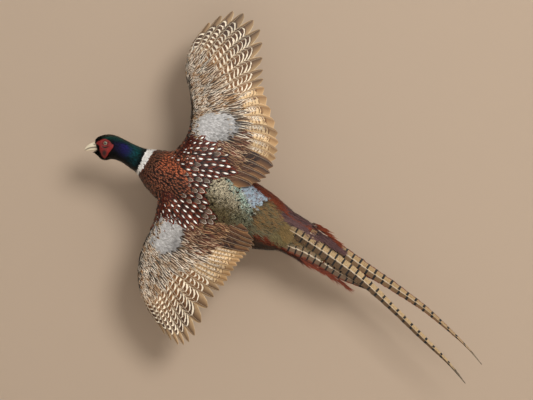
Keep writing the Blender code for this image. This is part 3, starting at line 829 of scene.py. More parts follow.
@dataclass(frozen=True)
class WingPlan:
    """One spread wing, the same as the solids': (back, out) stations and its rise."""

    side: str
    sign: int
    dihedral: float          # degrees that the wing rises toward the viewer
    span: float              # mm from its root to its outer end
    root_depth: float        # the root's depth off the wall, in mm
    inner_lift: float        # how far the inner wing's back edge is raised, in mm
    stations: tuple          # (back, out) of leading edge, coverts' end and feather tips
    flesh: tuple = (24.0, 24.0, 19.0, 15.0, 13.0, 10.0, 8.0, 6.0, 4.5)    # thickness at each
    edge: float = 2.4        # the least thickness

    def place(self, at: Array, chord: Array, over_skin: Array | float = 0.0) -> Array:
        """Points of the wing's middle sheet.

        Args:
            at: station numbers, 0 at the root and 8 at the hand's end.
            chord: 0 at the leading edge, 1 where the flight feathers start, 2 at their tips.
            over_skin: how many mm nearer the viewer.

        Returns:
            The places in metres.
        """
        at, chord = np.broadcast_arrays(np.asarray(at, float), np.asarray(chord, float))
        rows = blend_rows(np.reshape(self.stations, (9, 6)), at)
        lead, covert, tip = rows[..., 0:2], rows[..., 2:4], rows[..., 4:6]
        near = np.minimum(chord, 1.0)[..., None]
        far = np.maximum(chord - 1.0, 0.0)[..., None]
        spot = lead + (covert - lead) * near + (tip - covert) * far
        share = 0.45 * near[..., 0] + 0.55 * far[..., 0]
        beyond = np.maximum(spot[..., 1] - 55.0, -20.0)
        rise = math.tan(math.radians(self.dihedral)) * beyond * (1.15 - 0.3 * beyond / self.span)
        lift = self.inner_lift * np.maximum(0.0, 1 - at / 4)
        depth = self.root_depth - rise + (10.0 - 2 * lift) * share**2
        return to_world(spot[..., 0], spot[..., 1] * self.sign, depth - over_skin)

    def thickness(self, at: Array, chord: Array) -> Array:
        """How thick the fleshy wing is, in mm."""
        flesh = np.interp(at, range(9), self.flesh)
        swell = np.interp(chord, (0, 0.05, 0.16, 0.36, 0.62, 1.0), (0.35, 0.68, 0.95, 1.0, 0.6, 0.0))
        return np.maximum(flesh * swell, self.edge)

    def sheet(self, upper: bool) -> Ground:
        """The wing's upper or lower side as ground, with a little of the other at its front."""
        at = np.linspace(0, 8, 65)
        turn = np.concatenate([np.linspace(-0.2, 0, 5), np.linspace(0, 1, 22)[1:],
                               np.linspace(1, 2, 16)[1:]])
        grid_at, grid_turn = np.meshgrid(at, turn, indexing="ij")
        chord = np.abs(grid_turn)
        sense = np.where(grid_turn >= 0, 1, -1) * (1 if upper else -1)
        thick = np.where(chord <= 1, self.thickness(grid_at, chord), 1.6)
        over = 2.4 * ramp(chord, 0.55, 1.05) if upper else 0.0
        points = self.place(grid_at, chord, sense * 0.5 * thick - 0.5 * self.edge + over)
        faces = grid_quads(*grid_at.shape)
        if (self.sign > 0) != upper:
            faces = faces[:, ::-1]
        return Ground(points.reshape(-1, 3), faces)


RIGHT_WING = WingPlan("right", 1, -5.0, 280.0, -135.0, 12.0, (
    ((-99.8, 48), (-15.6, 26.1), (42.3, 36)), ((-91.7, 79.2), (-3.1, 63), (73, 69)),
    ((-92.2, 96.4), (-4.6, 97.4), (80.9, 101.4)), ((-97.9, 117.8), (-15.4, 138.2), (65.6, 158.7)),
    ((-106.6, 140.3), (-48.4, 169.2), (6.9, 226.4)), ((-120.4, 163), (-80.3, 185.7), (-18.2, 271.5)),
    ((-137.3, 184.7), (-108.3, 204.5), (-52.9, 331.7)), ((-148.1, 204.5), (-131.1, 219.1), (-109, 341.3)),
    ((-152.8, 223.2), (-149.8, 227.4), (-149.4, 293.6))))
LEFT_WING = WingPlan("left", -1, -5.0, 230.0, -135.0, 9.0, (
    ((-94.3, 26.7), (-5.7, 16.8), (64, 12)), ((-87, 54), (19.2, 38.8), (107, 41)),
    ((-81.7, 77.5), (19.7, 73.4), (107, 61.3)), ((-80.5, 103.2), (10.2, 107.4), (97, 93)),
    ((-81.3, 130.2), (-10.4, 129.2), (90.9, 137.5)), ((-78, 158.4), (-26.9, 149), (79.7, 180.4)),
    ((-69.4, 183.6), (-36.5, 173.1), (78.5, 254.5)), ((-59.6, 203.6), (-42.1, 198.3), (59.9, 280)),
    ((-47.6, 219.5), (-43.4, 217.4), (20.7, 271.5))))


# ---- plumage ------------------------------------------------------------------------


class Region(Enum):
    """Kinds of contour feather, by where they grow."""

    HEAD = "head"
    MANTLE = "mantle"
    RUMP = "rump"
    RING = "ring"
    LOOSE = "loose"        # hair-like, over the tail's root and the rump's sides
    BELLY = "belly"


@dataclass(frozen=True)
class HeadPatch:
    """A soft patch of structural colour, fixed in place and so partly painted reflection: station,
    degrees from the crown, sizes, colour.
    """

    at: float
    degrees: float
    along: float
    round: float
    colour: str


@dataclass
class Paint:
    """What grows at each place: its region, its two colours, and how large its mark is."""

    kind: Array
    ground: Array
    accent: Array
    mark: Array

    @classmethod
    def plain(cls, count: int) -> "Paint":
        """Mantle feathers all over, whose ground is still to be set."""
        return cls(np.full(count, Region.MANTLE, object), np.zeros((count, 3)),
                   np.tile(tint("160D0A"), (count, 1)), np.full(count, 2.2))

    def put(self, where: Array, **values: Any) -> None:
        """Sets values at the places of a mask, from one value or from one for every place."""
        for name, value in values.items():
            whole = getattr(self, name)
            whole[where] = np.broadcast_to(value, whole.shape)[where]


@dataclass(frozen=True)
class BodyPlaces:
    """Places on head, neck and body: plan millimetres, stations and angles."""

    back: Array
    out: Array
    at: Array
    angle: Array

    @property
    def near(self) -> Array:
        """How much each place faces the viewer, from -1 to 1."""
        return np.sin(self.angle)


@dataclass(frozen=True)
class Plumage:
    """The markings that skin and coat share, as functions of the place on the body."""

    black: str = "050606"
    head_patches: tuple[HeadPatch, ...] = (
        HeadPatch(2.6, 22, 1.3, 30, "2A2A1C"), HeadPatch(3.8, 20, 0.8, 22, "5A4A38"),
        HeadPatch(4.6, 36, 0.8, 22, "0F5A52"), HeadPatch(3.2, 46, 1.0, 10, "156058"),
        HeadPatch(6.3, 30, 0.7, 24, "0C5A5E"), HeadPatch(6.6, 74, 0.5, 30, "0B6A66"),
        HeadPatch(5.0, 78, 0.8, 24, "2A2552"), HeadPatch(5.9, 82, 0.6, 26, "2E2A78"),
        HeadPatch(5.6, 66, 0.4, 14, "302A84"), HeadPatch(7.0, 115, 0.5, 26, "0B3E46"))

    def head(self, at: Array, angle: Array) -> Array:
        """Black-green with patches of teal, bronze and violet, which are partly painted reflection."""
        turn = np.degrees(np.abs(np.arctan2(np.sin(angle), np.cos(angle))))
        colour = tint(self.black)
        for p in self.head_patches:
            near = np.exp(-(((at - p.at) / p.along) ** 2 + ((turn - p.degrees) / p.round) ** 2))
            colour = mixed(colour, tint(p.colour), np.clip(near, 0, 0.85))
        return colour

    def collar(self, at: Array, angle: Array) -> Array:
        """Whether a place lies on the white ring."""
        return (at > 8.03 - 0.04 * np.cos(angle)) & (at < 8.68 + 0.05 * np.cos(angle))

    def mantle(self, here: BodyPlaces, paint: Paint) -> None:
        """Copper high on the back, maroon lower down, black-green behind the ring; the copper is
        strongest on the right and where the body faces the viewer, partly painted light, and the sides
        turning toward the wall get painted shade.
        """
        near = here.near
        # partly the mantle's own copper, partly painted light: strongest on the bird's right and where
        # the body faces the viewer
        warm = ramp(here.out, -6, 22) * ramp(-here.back, 20, 70) * ramp(near, 0.1, 0.5)
        ground = mixed(tint("4A1A12"), tint("B85228"), warm)
        # painted shade: darker where the body turns toward the wall
        ground = mixed(ground, tint("260D0A"), ramp(-near, -0.6, 0.4) * 0.85)
        collar_back = ramp(-here.at, -9.7, -9.3) * ramp(np.cos(here.angle - 0.85), 0.3, 0.7)
        paint.ground[:] = mixed(ground, tint("14201D"), collar_back)

    def rump(self, here: BodyPlaces, paint: Paint) -> None:
        """From cream through aqua and blue-grey to streaked olive and gold."""
        back, out = here.back, here.out
        diagonal = back + 1.4 * out
        rump = (back > -14 + 0.45 * np.maximum(-out, 0)) & (here.near > 0.05) & (here.at > 9)
        # partly the rump's own olive, partly painted shade: the cream darkens toward the bird's left,
        # lower side
        cream = mixed(tint("EADEC0"), tint("776A4A"), ramp(-out, -24, 14))
        aqua = np.exp(-(((diagonal - 86) / 13) ** 2))
        shade = mixed(cream, tint("B4D0C4"), aqua * ramp(out, -15, 15))
        flecks = ramp(diagonal, 91, 103) * ramp(out, 6, 20)
        shade = mixed(shade, tint("9FB2C2"), flecks)
        shade = mixed(shade, tint("8E9279"), ramp(back, 40, 75) * ramp(-out, -18, 6) * 0.7)
        speckled = np.sin(127.1 * back + 311.7 * out) * 43758.5 % 1
        paint.put(rump, kind=Region.RUMP, ground=shade,
                  accent=mixed(tint("1C130C"), tint("6E3A20"), flecks),
                  mark=np.where(flecks > 0.4, np.where(speckled < 0.35, 0.9, 0.1), 1.0))
        gold = ramp(back - 0.75 * np.maximum(out - 20, 0) + 0.1 * out, 74, 96)
        hue = np.sin(back / 4 + out / 2.5) * 0.5 + 0.5
        streak = mixed(mixed(tint("7E7856"), tint("AE8046"), hue), tint("8C9A84"),
                       ramp(-out, 8, 24) * 0.5)
        paint.put(rump & (gold > speckled), kind=Region.LOOSE, ground=tint("241C12"),
                  accent=streak, mark=0.95)

    def loose(self, here: BodyPlaces, paint: Paint) -> Array:
        """Rufous sides with a dark vent, and purple on the right; returns where they lie."""
        back, out = here.back, here.out
        edge = np.interp(back, (0, 45, 100, 140, 170, 220), (61, 62, 50, 38, 36, 20))
        sides = (out > edge - 5 - 7 * ramp(back, 95, 130)) | ((out < -27) & (back > 92))
        loose = (back > 20) & (here.near > -0.55) & sides
        paint.put(loose, kind=Region.LOOSE, ground=tint("3E140A"), accent=tint("8E3A1A"), mark=0.9)
        paint.put(loose & (out < -36), ground=tint("20150F"), accent=tint("4A3524"))
        line = np.interp(back, (128, 200, 250), (22, 8, 2))
        paint.put((back > 128) & (out > line) & (here.near > -0.4), kind=Region.LOOSE,
                  ground=tint("3A2426"), accent=tint("785656"))
        return loose

    def underside(self, here: BodyPlaces, paint: Paint, loose: Array) -> None:
        """Glossy breast, gold flanks with black tips, dark belly and vent."""
        at, near = here.at, here.near
        under = (near < -0.1) & (at > 8.6) & ~loose
        paint.put(under & (at < 11.6),
                  ground=mixed(tint("6A2A18"), tint("8A4020"), ramp(at, 9, 11)))
        flank = ramp(near, -0.85, -0.45) * ramp(-at, -14.2, -13.2)
        dusk = mixed(tint("2C1A12"), tint("A8682F"), flank)
        dusk = mixed(dusk, tint("5A3018"), ramp(at, 14.6, 15.6))
        paint.put(under & (at >= 11.6), kind=Region.BELLY, ground=dusk)

    def paint(self, points: Array, at: Array, angle: Array) -> Paint:
        """What grows at each place of head, neck and body.

        Args:
            points: places in metres.
            at: their stations.
            angle: their angles round the body.

        Returns:
            The paint at every place.
        """
        here, paint = BodyPlaces(*to_plan(points), at, angle), Paint.plain(len(at))
        self.mantle(here, paint)
        self.rump(here, paint)
        self.underside(here, paint, self.loose(here, paint))
        paint.put(at < 8.5, kind=Region.HEAD, ground=self.head(at, angle), accent=tint("020303"),
                  mark=0.9)
        paint.put(self.collar(at, angle), kind=Region.RING, ground=tint("FCFBF8"),
                  accent=tint("C9C8C4"), mark=0.5)
        return paint


PLUMAGE = Plumage()
# where the large shoulder feathers grow, in plan millimetres
SCAPULAR_OUTLINE = ((-106, 48), (-99, 88), (-60, 96), (-22, 97), (18, 64), (-16, 36), (-18, 2),
                    (2, -22), (24, -38), (-20, -72), (-76, -71), (-94, -48), (-62, -30),
                    (-50, -4), (-70, 30))


def under_scapulars(points: Array) -> Array:
    """Whether roots on the viewer's side would be hidden under the shoulder feathers."""
    back, out = to_plan(points)
    shrunk = [(-30 + 0.8 * (x + 30), 12 + 0.84 * (y - 12)) for x, y in SCAPULAR_OUTLINE]
    return inside(shrunk, back, out) & (points[:, 1] < -0.11)


# ---- meshes of vanes ------------------------------------------------------------------


@dataclass(frozen=True)
class VaneShape:
    """The outline and section of one kind of small feather; lengths in mm."""

    rows: int = 5
    columns: int = 3
    outline: tuple = ((0, 0.35), (0.25, 0.8), (0.6, 1.0), (0.85, 0.8), (1.0, 0.28))
    rounding: float = 0.12
    thick: float = 0.5
    crown: float = 0.12      # how far the middle stands over the edges, in widths
    sunk: float = 2.2        # depth of the root below the coat's outside
    stand: float = 0.6       # height of the tip over it
    ragged: float = 0.07


SMALL = VaneShape()
LARGE = VaneShape(rows=7, columns=5, thick=0.7, crown=0.1, sunk=2.4, stand=1.2, ragged=0.03,
                  outline=((0, 0.35), (0.2, 0.75), (0.5, 1.0), (0.75, 0.98), (0.92, 0.66), (1.0, 0.3)))
COVERT = VaneShape(thick=0.45, crown=0.1, sunk=0.9, stand=0.9, ragged=0.08,
                   outline=((0, 0.5), (0.3, 0.95), (0.6, 1.0), (0.85, 0.7), (1.0, 0.2)))
HAIR = VaneShape(rows=5, columns=3, outline=((0, 0.5), (0.3, 1.0), (0.7, 0.8), (1.0, 0.12)),
                 rounding=0.0, thick=0.35, crown=0.2, sunk=2.0, stand=1.8, ragged=0.0)


@dataclass
class Roots:
    """Where a set of feathers grow, and how each lies and is marked; lengths in mm."""

    place: Array
    lie: Array
    length: Array
    width: Array
    ground: Array
    accent: Array
    mark: Array
    kind: Array
    bend: Array
    lift: Array

    @classmethod
    def of(cls, place: Array, lie: Array, length: Any, width: Any, ground: Array, accent: Array,
           mark: Any = 1.0, kind: Any = 0.0, bend: Any = 0.0, lift: Any = 1.0) -> "Roots":
        """Roots whose single numbers are spread over all feathers."""
        count = len(place)
        full = [np.broadcast_to(np.asarray(x, float), (count,)).copy()
                for x in (length, width, mark, kind, bend, lift)]
        colours = [np.broadcast_to(c, (count, 3)).copy() for c in (ground, accent)]
        return cls(place, lie, full[0], full[1], *colours, *full[2:])

    def repeated(self, times: int) -> "Roots":
        """A copy with each feather in it several times."""
        return Roots(**{k: np.repeat(value, times, 0) for k, value in self.__dict__.items()})

    def pick(self, chosen: Array) -> "Roots":
        """Only the chosen feathers."""
        return Roots(**{k: value[chosen] for k, value in self.__dict__.items()})

    @staticmethod
    def join(parts: Sequence["Roots"]) -> "Roots":
        """Several sets as one."""
        return Roots(**{k: np.concatenate([getattr(p, k) for p in parts])
                        for k in parts[0].__dict__})


def quad_object(name: str, points: Array, quads: Array, material: bpy.types.Material,
                maps: dict[str, Array] | None = None,
                carried: dict[str, Array] | None = None, sharp: float = 70.0) -> bpy.types.Object:
    """A smooth mesh object from quads.

    Args:
        name: the piece's name.
        points: vertices in metres.
        quads: four vertex numbers for each face.
        material: what it is made of.
        maps: UV maps by name, one place for each vertex.
        carried: vertex attributes by name: one number, a vector or a colour each.
        sharp: edges that turn by more degrees than this aren't smoothed.

    Returns:
        The linked object.
    """
    mesh = bpy.data.meshes.new(name)
    count = len(quads)
    mesh.vertices.add(len(points))
    mesh.vertices.foreach_set("co", np.asarray(points, np.float32).ravel())
    mesh.loops.add(4 * count)
    loops = np.asarray(quads, np.int32).ravel()
    mesh.loops.foreach_set("vertex_index", loops)
    mesh.polygons.add(count)
    mesh.polygons.foreach_set("loop_start", np.arange(0, 4 * count, 4, dtype=np.int32))
    mesh.update(calc_edges=True)
    for key, places in (maps or {}).items():
        layer = mesh.uv_layers.new(name=key, do_init=False)
        layer.uv.foreach_set("vector", np.asarray(places, np.float32)[loops].ravel())
    for key, values in (carried or {}).items():
        values = np.asarray(values, np.float32)
        if values.ndim == 1:
            mesh.attributes.new(key, "FLOAT", "POINT").data.foreach_set("value", values)
        elif key == "trait":
            mesh.attributes.new(key, "FLOAT_VECTOR", "POINT").data.foreach_set(
                "vector", values.ravel())
        else:
            full = np.concatenate([values, np.ones((len(values), 1), np.float32)], 1)
            mesh.attributes.new(key, "FLOAT_COLOR", "POINT").data.foreach_set("color", full.ravel())
    mesh.shade_smooth()
    mesh.set_sharp_from_angle(angle=math.radians(sharp))
    mesh.materials.append(material)
    mesh.validate()
    made = bpy.data.objects.new(name, mesh)
    bpy.context.scene.collection.objects.link(made)
    LOG.info("%s: %d faces", name, len(mesh.polygons))
    return made


def hand_in(piece: bpy.types.Object, slot: str, *nodes: str) -> None:
    """Says which solids a piece replaces, if any, and the body it rides on."""
    if nodes:
        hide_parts(*nodes)
    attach(piece, BODY)


class Tubes:
    """Closed round tubes that are joined into one piece."""

    def __init__(self, sides: int) -> None:
        """Starts without tubes; the number of sides is even."""
        self.sides = sides
        self.points: list[Array] = []
        self.quads: list[Array] = []

    def add(self, line: Array, radius: Array) -> None:
        """Adds a tube along a centre line, with a radius at each of its points, in metres."""
        run = unit(np.gradient(line, axis=0))
        first = unit(np.cross(run, np.array([0.12, 0.97, 0.21])))
        second = np.cross(run, first)
        turn = np.linspace(0, 2 * math.pi, self.sides, endpoint=False)[None, :, None]
        ring = first[:, None] * np.cos(turn) + second[:, None] * np.sin(turn)
        shift = sum(len(p) for p in self.points)
        self.points.append((line[:, None] + ring * radius[:, None, None]).reshape(-1, 3))
        self.quads.append(np.concatenate([grid_quads(len(line), self.sides, True),
                                          end_caps(len(line), self.sides, True)]) + shift)

    def build(self, name: str, finish: Finish, **options: Any) -> bpy.types.Object:
        """Makes one object of them."""
        return quad_object(name, np.concatenate(self.points), np.concatenate(self.quads),
                           finish.build(), **options)


def closed_sheet(rows: int, columns: int) -> tuple[Array, Array, Array]:
    """Faces of a thin closed sheet whose two sides share their border.

    Returns:
        The quads, the grid numbers of the lower side's own vertices, and all vertices' numbers
        on the grid.
    """
    top = np.arange(rows * columns).reshape(rows, columns)
    low = top.copy()
    inner = top[1:-1, 1:-1].ravel()
    low[1:-1, 1:-1] = rows * columns + np.arange(len(inner)).reshape(rows - 2, columns - 2)
    faces = []
    for grid, flip in ((top, False), (low, True)):
        quads = np.stack([grid[:-1, :-1], grid[:-1, 1:], grid[1:, 1:], grid[1:, :-1]], -1)
        quads = quads.reshape(-1, 4)
        faces.append(quads[:, ::-1] if flip else quads)
    return np.concatenate(faces), inner, np.concatenate([top.ravel(), inner])


class Skin:
    """The one skin under the coat, and the unwrap that roots are placed on."""

    flesh: tuple[str, ...] = ("head", "neck", "breast", "trunk", "rump", "tail_coverts",
                              "thigh_left", "thigh_right",
                              *(f"wing_{s}_{p}" for s in ("left", "right")
                                for p in ("upper_arm", "forearm", "hand")))
    voxel: float = 1.9

    def __init__(self, nodes: dict[str, bpy.types.Object]) -> None:
        """Joins the solids of flesh into one smooth closed form."""
        self.nodes = nodes
        points, faces, shift = [], [], 0
        for name in self.flesh:
            mesh = nodes[name].data
            points += [tuple(v.co) for v in mesh.vertices]
            faces += [[shift + k for k in p.vertices] for p in mesh.polygons]
            shift += len(mesh.vertices)
        mesh = bpy.data.meshes.new("skin")
        mesh.from_pydata(points, [], faces)
        self.piece = bpy.data.objects.new("skin", mesh)
        bpy.context.scene.collection.objects.link(self.piece)
        weld = self.piece.modifiers.new("weld", "WELD")
        weld.merge_threshold = 1e-6
        remesh = self.piece.modifiers.new("join", "REMESH")
        remesh.mode, remesh.voxel_size = "VOXEL", self.voxel * MM
        relax = self.piece.modifiers.new("relax", "SMOOTH")
        relax.factor, relax.iterations = 0.5, 6
        self.apply()
        self.ground = Ground(self.vertices(), self.quads())

    def apply(self) -> None:
        """Makes the modifiers' result the skin's own mesh."""
        graph = bpy.context.evaluated_depsgraph_get()
        mesh = bpy.data.meshes.new_from_object(self.piece.evaluated_get(graph))
        self.piece.modifiers.clear()
        self.piece.data = mesh

    def vertices(self) -> Array:
        """The skin's vertices."""
        found = np.empty(3 * len(self.piece.data.vertices))
        self.piece.data.vertices.foreach_get("co", found)
        return found.reshape(-1, 3)

    def quads(self) -> Array:
        """The skin's faces as rows of four vertex numbers."""
        rows = [tuple(p.vertices) for p in self.piece.data.polygons]
        return np.array([r if len(r) == 4 else (*r, r[-1]) for r in rows])

    def thickness(self, points: Array, inward: Array) -> Array:
        """How far the skin's other side is from each place, in mm."""
        found = []
        for place, way in zip(points.tolist(), inward.tolist()):
            way = Vector(way)
            hit = self.ground.tree.ray_cast(Vector(place) + 0.3 * MM * way, way, 0.05)[3]
            found.append((hit or 0.0) / MM)
        return np.array(found)

    def settle(self) -> None:
        """Sinks the skin by the coat's depth, colours it as the coat and unwraps it."""
        points = self.vertices()
        normals = np.empty(3 * len(points))
        self.piece.data.vertices.foreach_get("normal", normals)
        at, _, off_body = SPINE.clearance(points)
        depth = np.interp(at, (0, 3, 6, 9, 11, 15, 18), (0.9, 1.0, 1.6, 3.0, 4.0, 3.0, 1.5))
        normals = normals.reshape(-1, 3)
        on_wing = np.clip(0.22 * self.thickness(points, -normals), 0.35, 1.7)
        depth = np.where(off_body > OFF_BODY, on_wing, depth)
        moved = points - normals * depth[:, None] * MM
        self.piece.data.vertices.foreach_set("co", moved.ravel())
        thin = self.piece.modifiers.new("thin", "DECIMATE")
        thin.ratio = 0.4
        self.apply()
        points = self.vertices()
        at, angle, off_body = SPINE.clearance(points)
        ground = PLUMAGE.paint(points, at, angle).ground
        ground[off_body > OFF_BODY] = tint("5E4733")
        full = np.concatenate([ground, np.ones((len(ground), 1))], 1).astype(np.float32)
        mesh = self.piece.data
        mesh.attributes.new("ground", "FLOAT_COLOR", "POINT").data.foreach_set(
            "color", full.ravel())
        mesh.shade_smooth()
        mesh.materials.clear()
        mesh.materials.append(SkinFinish().build())
        self.unwrap()
        hand_in(self.piece, "body_feathers", *self.flesh)
        LOG.info("skin: %d faces", len(mesh.polygons))

    def unwrap(self) -> None:
        """Lays the skin out flat, and keeps where each of its faces went."""
        bpy.ops.object.select_all(action="DESELECT")
        self.piece.select_set(True)
        bpy.context.view_layer.objects.active = self.piece
        mesh = self.piece.data
        mesh.uv_layers.new(name="OFBake")
        bpy.ops.object.mode_set(mode="EDIT")
        bpy.ops.mesh.select_all(action="SELECT")
        bpy.ops.uv.smart_project(angle_limit=1.15, island_margin=0.003)
        bpy.ops.object.mode_set(mode="OBJECT")
        places = np.empty(2 * len(mesh.loops))
        mesh.uv_layers["OFBake"].uv.foreach_get("vector", places)
        starts = np.array([p.loop_start for p in mesh.polygons])
        totals = np.array([p.loop_total for p in mesh.polygons])
        self.face_places = np.add.reduceat(places.reshape(-1, 2), starts) / totals[:, None]
        self.tree = BVHTree.FromPolygons([tuple(v.co) for v in mesh.vertices],
                                         [tuple(p.vertices) for p in mesh.polygons])

    def flat(self, places: Array) -> Array:
        """Where roots at these places lie on the skin's unwrap."""
        faces = [self.tree.find_nearest(p)[2] for p in places.tolist()]
        return self.face_places[faces]


class Coat:
    """Makes pieces of joined feathers on a ground."""

    def __init__(self, skin: Skin) -> None:
        """Keeps the skin for its unwrap, and seeds the small differences."""
        self.skin = skin
        self.chance = np.random.default_rng(24)

    def vanes(self, roots: Roots, shape: VaneShape, ground: Ground, v: Array,
              u: Array) -> tuple[Array, Array]:
        """Both sides of every vane, draped over the ground.

        Args:
            roots: the feathers.
            shape: their common shape.
            ground: the surface that they lie on.
            v: how far along the vane, one row for each step.
            u: how far across, from -1 to 1.

        Returns:
            Upper and lower places in metres, as one grid for each feather.
        """
        rng = self.chance
        along = v - shape.rounding * u**2 * v**3
        _, normal = ground.snap(roots.place)
        lie = unit(roots.lie - normal * (roots.lie * normal).sum(1, keepdims=True))
        side = np.cross(normal, lie)
        grids = (len(roots.place), *along.shape)
        rough = 1 + shape.ragged * rng.standard_normal(grids) * (np.abs(u) > 0.99)
        forward = along[None] * (1 + 0.5 * shape.ragged * rng.standard_normal(grids) * (v > 0.7))
        length, width, bend, lift = (value[:, None, None] for value in (
            roots.length * MM, roots.width * MM, roots.bend, roots.lift))
        wide = np.interp(v, *zip(*shape.outline)) * u
        sideways = 0.5 * width * wide * rough + bend * length * v**2
        free = roots.place[:, None, None] + (lie[:, None, None] * (forward * length)[..., None]
                                             + side[:, None, None] * sideways[..., None])
        place, up = ground.snap(free)
        up = unit(up + normal[:, None, None])
        place = free + up * ((place - free) * up).sum(-1, keepdims=True)
        height = (-shape.sunk * (1 - v) ** 1.4 + shape.stand * lift * v**1.6) * MM
        height = height + shape.crown * width * (1 - u**2) * np.minimum(1, 3 * v) * (1.05 - v)
        top = place + up * height[..., None]
        thick = np.broadcast_to((1 - u**2) * (1 - (2 * v - 1) ** 4) * shape.thick * MM, grids)
        return top, top - up * thick[..., None]

    def grow(self, name: str, roots: Roots, shape: VaneShape, ground: Ground, finish: VaneFinish,
             slot: str) -> None:
        """Builds one coat piece, which rides on the body.

        Args:
            name: the piece's name.
            roots: its feathers.
            shape: their common shape.
            ground: the surface that they lie on.
            finish: their material.
            slot: a material slot's name; not used.
        """
        count = len(roots.place)
        v = np.linspace(0, 1, shape.rows)[:, None]
        u = np.linspace(-1, 1, shape.columns)[None, :]
        top, low = (grid.reshape(count, -1, 3) for grid in self.vanes(roots, shape, ground, v, u))
        quads, inner, numbers = closed_sheet(shape.rows, shape.columns)
        per = len(numbers)
        faces = (quads[None] + per * np.arange(count)[:, None, None]).reshape(-1, 4)
        vane = np.stack(np.broadcast_arrays(0.5 + 0.5 * u, v), -1).reshape(-1, 2)[numbers]
        patch = self.skin.flat(roots.place)[:, None] + PATCH * (vane[None] - 0.5)
        trait = np.stack([self.chance.random(count), roots.mark, roots.kind], 1)
        piece = quad_object(
            name, np.concatenate([top, low[:, inner]], 1).reshape(-1, 3), faces, finish.build(),
            {"vane": np.tile(vane, (count, 1)), "OFBake": patch.reshape(-1, 2)},
            {"ground": np.repeat(roots.ground, per, 0), "accent": np.repeat(roots.accent, per, 0),
             "trait": np.repeat(trait, per, 0)})
        hand_in(piece, slot)


# ---- the body's coat -------------------------------------------------------------------


@dataclass(frozen=True)
class ShortFeathers:
    """A patch of short feathers: their sizes in mm, their colours and their finish."""

    name: str
    length: tuple[float, float]
    width: float
    ground: tuple[str, str]
    accent: str
    ruffle: float            # how far each one turns from the common lie
    lift: tuple[float, float]
    finish: VaneFinish


BELLY_FINISH = FleckedFinish(name="belly_feather", roughness=0.6)
SHOULDER_DOWN = ShortFeathers("coat_shoulders", (9.0, 13.0), 5.0, ("4A180F", "8A3820"), "160D0A",
                              0.1, (0.5, 1.4), FleckedFinish())
THIGH_DOWN = ShortFeathers("coat_thighs", (8.0, 12.0), 3.6, ("3A2216", "7A4A28"), "1A100B", 0.12,
                           (0.4, 1.3), BELLY_FINISH)


